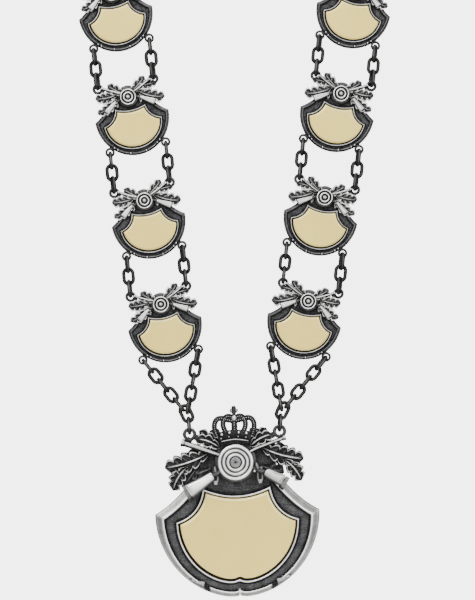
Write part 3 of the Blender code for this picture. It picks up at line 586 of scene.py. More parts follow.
def addShield(shape, shield, frameSizes, rim, between, fillet, counts):
    # back, edge, rim, field, plate frame and pocket, each row as (distance inside, depth, tone)
    rows = []
    tones = []
    for distance, depth, tone in rim:
        ring = rimRing(shield, distance, counts)
        rows.append([lay(point[0], point[1], depth) for point in ring])
        tones.append(tone)
    outer = rimRing(shield, rim[-1][0], counts)
    inner = shieldRing(frameSizes, fillet[0][0], counts)
    for step in range(1, between["steps"] + 1):
        share = step / (between["steps"] + 1)
        # the dark field between rim and frame, a little lighter further down
        places = [(1 - share) * a + share * b for a, b in zip(outer, inner)]
        rows.append([lay(*point, between["depth"]) for point in places])
        tones.append([between["tone"] * min(1.3, max(0.7, 0.4 - point[1] / shield["cornerDrop"]))
                      for point in places])
    for distance, depth, tone in fillet:
        ring = shieldRing(frameSizes, distance, counts)
        rows.append([lay(point[0], point[1], depth) for point in ring])
        # painted light: the frame's inner side is made lighter along the top, where the plate lies
        # against it, as if lit from above
        reach = frameSizes["cornerDrop"] - frameSizes["topDrop"]
        paintedTopLight = 0.35 if distance > 0.6 else 0
        tones.append([tone + paintedTopLight * clamped((frameSizes["cornerDrop"] + point[1]) / reach)
                      for point in ring])
    addRings(shape, rows, tones)


# Geometry node trees of what repeats.

def newTree(name, sizes):
    tree = bpy.data.node_groups.new(name, "GeometryNodeTree")
    tree.interface.new_socket("Geometry", in_out="INPUT", socket_type="NodeSocketGeometry")
    for label, size in sizes.items():
        socket = tree.interface.new_socket(label, in_out="INPUT", socket_type="NodeSocketFloat")
        socket.default_value = size
    tree.interface.new_socket("Material", in_out="INPUT", socket_type="NodeSocketMaterial")
    tree.interface.new_socket("Geometry", in_out="OUTPUT", socket_type="NodeSocketGeometry")
    return tree, addNode(tree, "NodeGroupInput").outputs


def endTree(tree, geometry, source):
    real = addNode(tree, "GeometryNodeRealizeInstances", {"Geometry": geometry})
    smooth = addNode(tree, "GeometryNodeSetShadeSmooth", {"Geometry": real.outputs[0]})
    dressed = addNode(tree, "GeometryNodeSetMaterial", {"Geometry": smooth.outputs[0],
                                                        "Material": source["Material"]})
    addNode(tree, "NodeGroupOutput", {"Geometry": dressed.outputs[0]})
    return tree


def linkTree():
    # a link of round wire on every point, turned by the point's own "turn"
    tree, source = newTree("linksOnPoints", {"Link length": 12.1 * mm, "Link width": 8.6 * mm,
                                             "Wire": 2.2 * mm})
    long = addMath(tree, "SUBTRACT", source["Link length"], source["Wire"])
    wide = addMath(tree, "SUBTRACT", source["Link width"], source["Wire"])
    # a bend is just under half the width, so that two bends never meet
    bend = addMath(tree, "MULTIPLY", wide, 0.497)
    thick = addMath(tree, "MULTIPLY", source["Wire"], 0.5)
    box = addNode(tree, "GeometryNodeCurvePrimitiveQuadrilateral", {"Width": wide,
                                                                     "Height": long})
    oval = addNode(tree, "GeometryNodeFilletCurve", {"Curve": box.outputs[0], "Count": 7,
                                                     "Radius": bend}, mode="POLY")
    wire = addNode(tree, "GeometryNodeCurvePrimitiveCircle", {"Resolution": 12,
                                                              "Radius": thick})
    link = addNode(tree, "GeometryNodeCurveToMesh", {"Curve": oval.outputs[0],
                                                     "Profile Curve": wire.outputs[0]})
    turn = addNode(tree, "GeometryNodeInputNamedAttribute", {"Name": "turn"},
                   data_type="FLOAT_VECTOR")
    links = addNode(tree, "GeometryNodeInstanceOnPoints", {
        "Points": source["Geometry"], "Instance": link.outputs[0],
        "Rotation": turn.outputs["Attribute"]})
    return endTree(tree, links.outputs[0], source)


def beadTree():
    # round beads at even spacing along curves
    tree, source = newTree("beadsOnCurves", {"Bead radius": 0.5 * mm, "Bead spacing": 1.2 * mm})
    spots = addNode(tree, "GeometryNodeCurveToPoints", {"Curve": source["Geometry"],
                                                        "Length": source["Bead spacing"]},
                    mode="LENGTH")
    bead = addNode(tree, "GeometryNodeMeshIcoSphere", {"Radius": source["Bead radius"],
                                                       "Subdivisions": 2})
    beads = addNode(tree, "GeometryNodeInstanceOnPoints", {
        "Points": spots.outputs["Points"], "Instance": bead.outputs["Mesh"]})
    return endTree(tree, beads.outputs[0], source)


def grown(source, tree, inputs):
    # the tree's result on an object, as a plain mesh; the object is used up
    maker = source.modifiers.new(tree.name, "NODES")
    maker.node_group = tree
    for socket in tree.interface.items_tree:
        if socket.name in inputs:
            maker[socket.identifier] = inputs[socket.name]
    bpy.context.scene.collection.objects.link(source)
    graph = bpy.context.evaluated_depsgraph_get()
    mesh = bpy.data.meshes.new_from_object(source.evaluated_get(graph))
    source.modifiers.remove(maker)
    bpy.data.objects.remove(source)
    return mesh


linksOnPoints = linkTree()
beadsOnCurves = beadTree()


def addBeads(shape, runs, radius, spacing, tone):
    # rows of beads along runs of (across, up, depth)
    curve = bpy.data.curves.new("beadRuns", "CURVE")
    curve.dimensions = "3D"
    for run in runs:
        spline = curve.splines.new("POLY")
        spline.points.add(len(run) - 1)
        for corner, place in zip(spline.points, run):
            corner.co = (*lay(*place), 1)
    source = bpy.data.objects.new("beadRuns", curve)
    addMesh(shape, grown(source, beadsOnCurves, {
        "Bead radius": radius * mm, "Bead spacing": spacing * mm, "Material": antiqueSilver}),
        tone)


print("tools ready")


# Plaque casting of the left column, around the middle of its target, mm.

plaque = {
    "shield": {"half": 23.9, "cornerDrop": 12.6, "foot": 37.6, "topHalf": 12.0, "topDrop": 0.5,
               "scoop": (0.45, 0.30)},
    "frame": {"half": 18.8, "cornerDrop": 16.4, "foot": 33.8, "topHalf": 9.8, "topDrop": 6.4,
              "topSag": 2.1, "scoop": (0.14, 0.20)},
    "counts": (14, 22, 44),
    # distance inside the edge, depth, tone
    "rim": [(0.6, 0.0, 0.36), (0.25, 0.08, 0.3), (0.0, 0.4, 0.08), (0.0, 1.3, 0.08),
            (0.2, 1.6, 0.16), (0.45, 1.85, 0.36), (0.8, 2.1, 0.26), (1.2, 2.4, 0.2),
            (1.6, 2.66, 0.26), (1.95, 2.62, 0.28), (2.25, 2.1, 0.1), (2.5, 1.62, 0.04)],
    # how much of its brightness the rim keeps along the foot, and where it fades, mm down
    "footTone": 0.45, "footFade": (28, 33),
    "between": {"steps": 3, "depth": 1.55, "tone": 0.15},
    "fillet": [(-0.5, 1.55, 0.03), (-0.2, 1.75, 0.06), (0.0, 2.2, 0.15), (0.2, 2.52, 0.34),
               (0.48, 2.62, 0.64), (0.72, 2.5, 0.3), (0.92, 2.15, 0.06), (1.1, 1.9, 0.0),
               (1.3, 1.5, 0.0), (1.3, 1.0, 0.0)],
    "leaves": [
        {"base": (7.4, 4.4), "tip": (19.6, 5.6), "width": 3.3, "bend": 0.05},
        {"base": (-2.2, 2.4), "tip": (-11.6, 9.8), "width": 3.9, "bend": 0.05, "lobes": 3},
        {"base": (2.2, 2.8), "tip": (12.6, 11.2), "width": 3.9, "bend": -0.06, "lobes": 3},
        {"base": (-6.6, 2.6), "tip": (-20.8, 2.6), "width": 4.3, "bend": 0.06},
        {"base": (-7.2, -0.6), "tip": (-21.2, -7.2), "width": 3.7, "bend": 0.08},
        {"base": (6.6, 2.8), "tip": (23.2, -4.0), "width": 5.0, "bend": -0.08},
    ],
    # the casting's ground behind the leaves
    "ground": [(-14.0, 0.4, 1.4, 1.6, 0.7), (-8.0, 1.4, 1.5, 3.0, 0.8), (0.0, 1.6, 1.5, 3.4, 0.8),
               (8.0, 2.0, 1.5, 3.0, 0.8), (13.6, 1.0, 1.4, 1.6, 0.7)],
    # radius, depth, tone: the round ground behind the target, and how far up its middle is
    "hub": [(2.0, 0.9, 0.1), (6.6, 0.9, 0.1), (6.9, 2.6, 0.15), (6.3, 2.9, 0.2),
            (2.0, 3.0, 0.1)],
    "hubUp": 0.6,
    "leafBack": 0.7, "leafFront": 3.1, "leafTone": 0.1,
    "leafStyle": {"rib": 0.3, "hem": 0.6, "hemPlace": 0.84, "veins": 0.4, "shine": 0.95,
                  "ribShine": 0.5},
    "rifles": [
        {"barrel": [(-15.9, 8.5, 3.3, 0.9, 0.8), (-15.0, 8.0, 3.3, 0.9, 0.8),
                    (-14.6, 7.8, 3.3, 0.66, 0.7), (-8.0, 4.5, 3.3, 0.66, 0.7),
                    (-2.0, 1.9, 3.0, 0.7, 0.8)],
         "receiver": [(2.0, 0.6, 2.8, 1.0, 0.9), (7.6, -1.5, 2.8, 1.0, 0.9)],
         "butt": [(6.9, -1.2, 2.6, 0.85, 0.9), (9.0, -2.2, 2.7, 1.15, 1.1),
                  (12.2, -4.1, 2.8, 1.75, 1.2), (15.6, -6.0, 2.8, 2.1, 1.15),
                  (16.3, -6.4, 2.7, 2.1, 0.9)],
         "guard": (7.6, -3.0)},
        {"barrel": [(16.0, 8.8, 3.5, 0.9, 0.8), (15.1, 8.3, 3.5, 0.9, 0.8),
                    (14.7, 8.1, 3.5, 0.66, 0.7), (8.0, 4.5, 3.5, 0.66, 0.7),
                    (2.0, 1.8, 3.0, 0.7, 0.8)],
         "receiver": [(-2.0, 0.2, 2.7, 1.0, 0.9), (-8.0, -1.9, 2.7, 1.0, 0.9)],
         "butt": [(-7.4, -1.6, 2.5, 0.85, 0.9), (-9.4, -2.6, 2.6, 1.15, 1.1),
                  (-12.2, -5.0, 2.7, 1.75, 1.2), (-14.7, -7.2, 2.7, 2.1, 1.15),
                  (-15.3, -7.7, 2.6, 2.1, 0.9)],
         "guard": (-7.8, -3.6)},
    ],
    # tones, the margin of the dark web round a barrel, partly cast metal behind it and partly a
    # painted shadow round it, and a guard's half width, half height, depth
    "rifleStyle": {"barrelTone": 0.72, "receiverTone": 0.26, "buttTone": 0.7, "guardTone": 0.62,
                   "shadowWeb": 0.3, "guardSize": (0.95, 1.8, 3.0)},
    # radius, depth, tone
    "target": [(3.0, 0.9, 0.1), (4.9, 0.9, 0.05), (5.15, 1.3, 0.05), (5.2, 3.9, 0.0),
               (5.1, 4.45, 0.4), (4.9, 4.7, 0.84), (4.5, 4.7, 0.8), (4.3, 4.4, 0.3),
               (4.0, 4.2, 0.08), (3.4, 4.2, 0.2), (3.1, 4.5, 0.6), (2.85, 4.7, 0.84),
               (2.45, 4.65, 0.8), (2.2, 4.3, 0.2), (1.9, 4.15, 0.03), (1.45, 4.2, 0.1),
               (1.15, 4.5, 0.4), (0.8, 4.7, 0.62), (0.35, 4.8, 0.7), (0.03, 4.85, 0.7)],
    "eyes": {"spread": 18.1, "up": 8.5, "ring": 2.4, "wire": 0.8, "down": 32.8, "lowRing": 2.1,
             "lowWire": 0.55, "depth": 1.8},
    "drawnWires": (0.95, 0.8),  # the eyes' wires a little thicker than packed, outward only
    "eyeTone": 0.1,
    # what holds the lower eyes: way in from the eye, depth, half width, half depth
    "eyeFoot": [(5.5, 1.45, 1.7, 0.75), (1.9, 1.6, 1.15, 0.6)],
    # what holds the upper eyes, on the right
    "eyeArm": [(14.6, 5.4, 2.0, 1.3, 0.9), (16.4, 6.9, 1.9, 0.9, 0.7)],
    # ways across from the middle line, where the foot's rim carries beads, and fine ridges
    # between them; both lie an inset inside the edge
    "footBeads": (-15.6, -13.6, -5.4, 5.4, 13.6, 15.6),
    "footLines": ((-12.6, -6.4), (-4.4, 4.4), (6.4, 12.6)),
    "footInset": 1.35,
    "footBead": [(0.4, 1.6, 0.2), (0.55, 2.5, 0.45), (0.45, 2.9, 0.7), (0.05, 3.05, 0.8)],
    "footLine": (2.3, 0.34, 0.5),     # depth, half width, half depth
    "plate": {"gap": 1.6, "depth": 1.0, "front": 2.35, "bevel": 1.15, "shift": (0.1, 0.2)},
    "wearAndShade": {"reach": 2.2, "ridge": 0.6, "shade": 0.8},
}


def plateMesh(name, frameSizes, plate, counts):
    # a thin plate with a cut edge, lying in its frame
    shape = newShape()
    bevel = plate["bevel"]
    # the outer wall's dark tones give it the groove's painted shade, and the bevel's bright tone a
    # cut edge that is partly a painted highlight
    profile = [(0.0, plate["depth"], 0.0), (0.0, plate["front"] - bevel * 0.45, 0.0),
               (0.12, plate["front"] - bevel * 0.38, 0.12),
               (bevel * 0.25, plate["front"] - bevel * 0.28, 0.95),
               (bevel * 0.85, plate["front"] - bevel * 0.04, 0.95), (bevel, plate["front"], 0.5),
               (bevel + 0.3, plate["front"], 0.5)]
    rows = []
    tones = []
    for distance, depth, tone in profile:
        ring = shieldRing(frameSizes, plate["gap"] + distance, counts)
        rows.append([lay(point[0] + plate["shift"][0], point[1] + plate["shift"][1], depth)
                     for point in ring])
        # painted highlight: the cut edge is made brighter where it faces up than down the sides and
        # foot, as if lit from above
        tones.append([tone * (0.82 if point[1] < -frameSizes["cornerDrop"] else 1.1)
                      if distance < bevel else tone for point in ring])
    addRings(shape, rows, tones)
    return makeMesh(name, shape, plateGold)


def shieldFootPoint(sizes, distance, across):
    # the place on the shield's foot at a distance inside its edge and a way across
    angle = math.acos(max(-1.0, min(1.0, across / sizes["half"])))
    y = -sizes["cornerDrop"] - (sizes["foot"] - sizes["cornerDrop"]) * math.sin(angle)
    inward = numpy.array((-across, -sizes["cornerDrop"] - y))
    inward = inward / (numpy.linalg.norm(inward) + 1e-9)
    return numpy.array((across, y)) + inward * distance


def addRifle(shape, rifle, style):
    # barrel before its dark web, which is partly cast metal and partly a painted shadow round the
    # barrel; receiver, butt, and a trigger guard with its opening
    rifle = style | rifle
    shadowWeb = rifle["shadowWeb"]
    # painted shadow: a black band a little wider than the barrel, just behind it
    addRail(shape, [(x, y, deep - shadowWeb, wide + shadowWeb, high * 0.7)
                    for x, y, deep, wide, high in rifle["barrel"]], 0.0, steps=5)
    addRail(shape, rifle["barrel"], rifle["barrelTone"], steps=5, sideTone=0.0)
    addRail(shape, rifle["receiver"], rifle["receiverTone"], square=2.6, steps=5, sideTone=0.05)
    addRail(shape, rifle["butt"], rifle["buttTone"], square=3.2, sides=20, steps=6,
            sideTone=0.15)
    x, y = rifle["guard"]
    wide, tall, deep = rifle["guardSize"]
    addRail(shape, [(x, y + tall, deep, wide * 0.8, 0.5), (x, y + tall * 0.3, deep, wide, 0.6),
                    (x, y - tall * 0.4, deep, wide, 0.6), (x, y - tall, deep, wide * 0.45, 0.4)],
            rifle["guardTone"], sides=14, steps=4, sideTone=0.1)
    addRail(shape, [(x, y + tall * 0.4, deep + 0.55, wide * 0.52, 0.15),
                    (x, y - tall * 0.5, deep + 0.5, wide * 0.42, 0.15)], 0.0, sides=8, steps=3)


def plaqueShape():
    shape = newShape()
    addShield(shape, plaque["shield"], plaque["frame"], plaque["rim"], plaque["between"],
              plaque["fillet"], plaque["counts"])
    rimPoints = len(plaque["rim"]) * 2 * sum(plaque["counts"])
    for index in range(rimPoints):
        start, end = plaque["footFade"]
        low = clamped((-shape["points"][index].z / mm - start) / (end - start))
        shape["tones"][index] *= 1 - low * (1 - plaque["footTone"])
    for leaf in plaque["leaves"]:
        addLeaf(shape, leaf | plaque["leafStyle"], plaque["leafBack"], plaque["leafFront"],
                plaque["leafTone"])
    addTurned(shape, plaque["hub"], (0, plaque["hubUp"]), 40)
    addRail(shape, plaque["ground"], 0.1, square=3.0)
    for rifle in plaque["rifles"]:
        addRifle(shape, rifle, plaque["rifleStyle"])
    addTurned(shape, plaque["target"])
    eyes = plaque["eyes"]
    for side in (-1, 1):
        for ring, wire, drawn, up in ((eyes["ring"], eyes["wire"], plaque["drawnWires"][0],
                                       eyes["up"]),
                                      (eyes["lowRing"], eyes["lowWire"], plaque["drawnWires"][1],
                                       -eyes["down"])):
            addEye(shape, ring + drawn - wire, drawn, (side * eyes["spread"], up),
                   eyes["depth"], plaque["eyeTone"])
        foot = numpy.array((side * eyes["spread"], -eyes["down"]))
        out = foot / numpy.linalg.norm(foot)
        addRail(shape, [(*(foot - out * inward), *rest) for inward, *rest in plaque["eyeFoot"]],
                0.2, steps=4, square=2.6, sideTone=0.0)
        addRail(shape, mirrored(plaque["eyeArm"], side), 0.35, steps=3)
    for start, end in plaque["footLines"]:
        places = [shieldFootPoint(plaque["shield"], plaque["footInset"],
                                  start + (end - start) * step / 5) for step in range(6)]
        addRail(shape, [(x, y, *plaque["footLine"]) for x, y in places], 0.5, sides=10, steps=3,
                sideTone=0.0)
    for across in plaque["footBeads"]:
        place = shieldFootPoint(plaque["shield"], plaque["footInset"], across)
        addTurned(shape, plaque["footBead"], place, 10)
    return shape


plaqueLeft = makeMesh("plaqueLeft", plaqueShape(), antiqueSilver, plaque["wearAndShade"])
plaqueRight = plaqueLeft.copy()
plaqueRight.transform(Matrix.Diagonal((-1, 1, 1, 1)))
plaqueRight.flip_normals()
plaquePlate = plateMesh("plaquePlate", plaque["frame"], plaque["plate"], plaque["counts"])
print("plaque made,", len(plaqueLeft.vertices), "points")


# The layout of the chain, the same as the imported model's, mm.

chain = {
    "link": 12.1, "sharedLink": 13.2, "width": 8.6, "wire": 2.2, "bite": 0.15, "gap": 0.3,
    "dropLean": 4, "sharedTilt": 26, "strandLean": 5.8, "plaqueTilt": 11.0, "pendantTilt": 2.0,
    "eyeSpread": 28.8, "eyeRing": 3.3, "eyeWire": 1.2,
    # on a shared link: how far under its end's seat the first strand hangs, mm, and how much
    # further the second, in hooks
    "barDrop": 0.35, "barStep": 1.03,
    # over the shoulder and round the nape, from the middle of the pendant's eyes
    "neckRoute": [(90.5, 6.0, 356.5), (88.0, 30.0, 371.0), (78.5, 58.0, 381.5),
                  (62.0, 82.0, 388.8), (36.0, 99.5, 393.5), (0.0, 105.5, 395.0)],
    "neckStrands": 6,
    "drawnWire": 2.45,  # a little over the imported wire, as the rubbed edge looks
    # tones of a link: between its bars, along the outside of its sides, over its ends; the lighter
    # outside tones are partly rubbed wear and partly a painted highlight
    "tones": {"flank": 0.32, "side": 0.6, "end": 0.45},
    "wearAndShade": {"reach": 2.4, "ridge": 0.15, "shade": 0.7},
    # the bands below are partly rubbed wear and partly a painted highlight
    "worn": (0.9, 0.8),   # mm, width of the rubbed band along the sides, and over the ends
    "turn": 17.0,         # degrees, how far a link may lie turned about its own length
    "seed": 11,
}
bar = chain["link"] / 2 - chain["wire"] / 2
sharedBar = chain["sharedLink"] / 2 - chain["wire"] / 2
tightPitch = chain["link"] - 2 * chain["wire"] + chain["bite"]
loosePitch = chain["link"] - 2 * chain["wire"] - chain["gap"]
hook = chain["wire"] + chain["gap"]


def seat(ring, wire):
    # how far above an eye's middle a link's bar hangs
    return ring - wire - chain["wire"] / 2 - chain["gap"]


def meeting(first, second, radius):
    middle = (first + second) / 2
    half = (second - first) / 2
    rise = math.sqrt(radius ** 2 - half.length_squared)
    normal = Vector((-half.y, half.x)).normalized()
    return middle + (normal if normal.y > 0 else -normal) * rise


def planSide():
    # one side's places from its pendant eye, as if on the left: strands, plaques, shared links
    eyes = plaque["eyes"]
    upSeat = seat(eyes["ring"], eyes["wire"])
    lowSeat = seat(eyes["lowRing"], eyes["lowWire"])
    longStrand = 4 * tightPitch + 2 * bar
    shortStrand = 2 * tightPitch + 2 * bar
    slack = chain["width"] / 2 - 1.5 * chain["wire"] - chain["gap"]
    firstBar = sharedBar - hook - chain["barDrop"]
    secondBar = firstBar - chain["barStep"] * hook
    tilt = chain["plaqueTilt"]
    low = Vector((0, seat(chain["eyeRing"], chain["eyeWire"])))
    high = low + tilted(0, 2 * bar, chain["dropLean"])
    plan = {"plaques": [], "strands": [(low, high, 1)]}
    shared = high + tilted(0, sharedBar - hook, chain["sharedTilt"])
    plan["shared"] = [(shared, chain["sharedTilt"])]
    outer = shared + tilted(-slack, firstBar, chain["sharedTilt"])
    inner = shared + tilted(slack, secondBar, chain["sharedTilt"])
    feet = [tilted(side * eyes["spread"], -eyes["down"], tilt) for side in (-1, 1)]
    middle = meeting(outer - feet[0], inner - feet[1], longStrand + lowSeat)
    for point, foot in ((outer, feet[0]), (inner, feet[1])):
        end = middle + foot
        plan["strands"].append((point, end + (point - end).normalized() * lowSeat, 5))
    lean = tilted(0, 1, chain["strandLean"])
    for row in range(4):
        plan["plaques"].append(middle)
        if row == 3:
            break
        above = (middle + tilted(0, eyes["up"] + eyes["down"], tilt)
                 + lean * (shortStrand + upSeat + lowSeat))
        for side in (-1, 1):
            start = middle + tilted(side * eyes["spread"], eyes["up"], tilt)
            end = above + tilted(side * eyes["spread"], -eyes["down"], tilt)
            plan["strands"].append((start + lean * upSeat, end - lean * lowSeat, 3))
        middle = above
    heads = [middle + tilted(side * eyes["spread"], eyes["up"], tilt) for side in (-1, 1)]
    offsets = [tilted(-slack, -firstBar, tilt), tilted(slack, -secondBar, tilt)]
    shared = meeting(heads[0] - offsets[0], heads[1] - offsets[1], longStrand + upSeat)
    plan["shared"].append((shared, tilt))
    for head, offset in zip(heads, offsets):
        point = shared + offset
        plan["strands"].append((head + (point - head).normalized() * upSeat, point, 5))
    crown = shared + tilted(0, sharedBar, tilt)
    route = chain["neckRoute"][0]
    first = Vector((-route[0] + chain["eyeSpread"], route[1], route[2]))
    crown = Vector((crown.x, 0, crown.y))
    plan["neckStart"] = crown - (first - crown).normalized() * hook
    return plan


def linkTurn(along, facing):
    # the turn of a link lying along a direction with its flat side towards facing
    up = along.normalized()
    normal = (facing - up * facing.dot(up)).normalized()
    return Matrix((up.cross(normal), -normal, up)).transposed()


def strandLinks(start, end, count):
    # edge-on and facing links in turn, between the middles of a strand's end bars
    way = end - start
    along = way.normalized()
    pitch = (way.length - 2 * bar) / (count - 1) if count > 1 else 0
    front = Vector((0, -1, 0))
    edge = along.cross(front)
    return [(start + along * (bar + pitch * index), linkTurn(along, front if index % 2 else edge))
            for index in range(count)]


def neckLinks(starts):
    half = [Vector(point) for point in chain["neckRoute"]]
    left = [Vector((-point.x, point.y, point.z)) for point in half]
    route = smoothRun([starts[-1]] + left + half[-2::-1] + [starts[1]], 24)
    reached = [0.0]
    for before, after in zip(route, route[1:]):
        reached.append(reached[-1] + (after - before).length)
    room = reached[-1] - 2 * bar
    loose = chain["neckStrands"] - 1
    count = int((room - loose * loosePitch) / tightPitch) + loose + 1
    count -= 1 - count % 2
    step = (room - loose * loosePitch) / (count - 1 - loose)
    breaks = {round(count * (index + 1) / chain["neckStrands"]) for index in range(loose)}

    def at(distance):
        index = max(next(i for i, far in enumerate(reached) if far >= distance), 1)
        share = (distance - reached[index - 1]) / (reached[index] - reached[index - 1])
        return route[index - 1].lerp(route[index], share)

    links = []
    gone = bar
    facing = Vector((0, -1, 0))
    for index in range(count):
        if index:
            gone += loosePitch if index in breaks else step
        along = (at(min(gone + bar, reached[-1])) - at(max(gone - bar, 0))).normalized()
        facing = (facing - along * facing.dot(along)).normalized()
        links.append((at(gone), linkTurn(along, facing if index % 2 else along.cross(facing))))
    return links


def addPiece(name, mesh, body, nodes):
    mesh.name = name
    piece = addObject(name, mesh)
    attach(piece, body)
    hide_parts(*nodes)


def placedCopy(mesh, matrix):
    copy = mesh.copy()
    copy.transform(matrix)
    return copy


base = -Vector(chain["neckRoute"][-1])          # the middle of the pendant's eyes
plan = planSide()
linkGroups = {"front": [], "shared": [], "neck": []}
starts = {}
for side, word in ((-1, "Left"), (1, "Right")):
    spread = tilted(side * chain["eyeSpread"], 0, chain["pendantTilt"])
    corner = base + Vector((spread.x, 0, spread.y))

    def settle(point):
        # a place of the plan on this side of the chain
        return corner + Vector((-side * point.x, 0, point.y))

    for row, middle in enumerate(plan["plaques"]):
        number = 4 - row
        turn = Matrix.Rotation(math.radians(side * chain["plaqueTilt"]), 4, "Y")
        place = settle(middle) + Vector((0, plaque["eyes"]["depth"], 0))
        matrix = Matrix.Translation(place * mm) @ turn
        casting = plaqueLeft if side < 0 else plaqueRight
        addPiece(f"plaque{word}{number}", placedCopy(casting, matrix), "chain",
                 [f"plaque_{word.lower()}_{number}"])
        addPiece(f"plate{word}{number}", placedCopy(plaquePlate, matrix), "chain",
                 [f"plate_{word.lower()}_{number}"])
    for start, end, count in plan["strands"]:
        linkGroups["front"] += strandLinks(settle(start), settle(end), count)
    for middle, degrees in plan["shared"]:
        lean = tilted(0, 1, degrees)
        along = Vector((-side * lean.x, 0, lean.y))
        linkGroups["shared"].append((settle(middle), linkTurn(along, Vector((0, -1, 0)))))
    neck = plan["neckStart"]
    starts[side] = corner + Vector((-side * neck.x, neck.y, neck.z)) - base
linkGroups["neck"] = [(base + place, turn) for place, turn in neckLinks(starts)]
print("plaques placed")


# Links, by geometry nodes.

def linkMesh(name, links, length, seed):
    shake = random.Random(seed)
    flat = Matrix.Rotation(math.radians(90), 3, "X")
    mesh = bpy.data.meshes.new(name)
    mesh.from_pydata([place * mm for place, turn in links], [], [])
    turns = []
    for place, turn in links:
        swing = Matrix.Rotation(math.radians(shake.uniform(-1, 1) * chain["turn"]), 3, "Z")
        turns += list((turn @ swing @ flat).to_euler())
    mesh.attributes.new("turn", "FLOAT_VECTOR", "POINT").data.foreach_set("vector", turns)
    source = bpy.data.objects.new(name, mesh)
    grownLinks = grown(source, linksOnPoints, {
        "Link length": length * mm, "Link width": chain["width"] * mm,
        "Wire": chain["drawnWire"] * mm, "Material": darkenedWire})
    shape = newShape()
    addMesh(shape, grownLinks, chain["tones"]["flank"])
    perLink = len(shape["points"]) // len(links)
    for index, point in enumerate(shape["points"]):
        place, turn = links[index // perLink]
        local = turn.transposed() @ (point / mm - place)
        # lighter bands along the outside of the sides and ends: partly rubbed wear, partly a
        # painted highlight
        side = clamped(abs(local.x) - chain["width"] / 2 + chain["worn"][0])
        end = clamped(abs(local.z) - length / 2 + chain["worn"][1])
        shape["tones"][index] = max(chain["tones"]["flank"], chain["tones"]["side"] * side,
                                    chain["tones"]["end"] * end)
    return makeMesh(name, shape, darkenedWire, chain["wearAndShade"])


frontNodes = [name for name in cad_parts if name.startswith(("strand_", "drop_link_"))]
sharedNodes = [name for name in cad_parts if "_shared_link_" in name]
neckNodes = [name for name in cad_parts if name.startswith("neck_strand_")]
for index, (group, length, nodes) in enumerate((("front", chain["link"], frontNodes),
                                               ("shared", chain["sharedLink"], sharedNodes),
                                               ("neck", chain["link"], neckNodes))):
    name = group + "Links"
    addPiece(name, linkMesh(name, linkGroups[group], length, chain["seed"] + index), "chain",
             nodes)
print("links made:", {name: len(links) for name, links in linkGroups.items()})


# Pendant, around the middle of its target, mm.

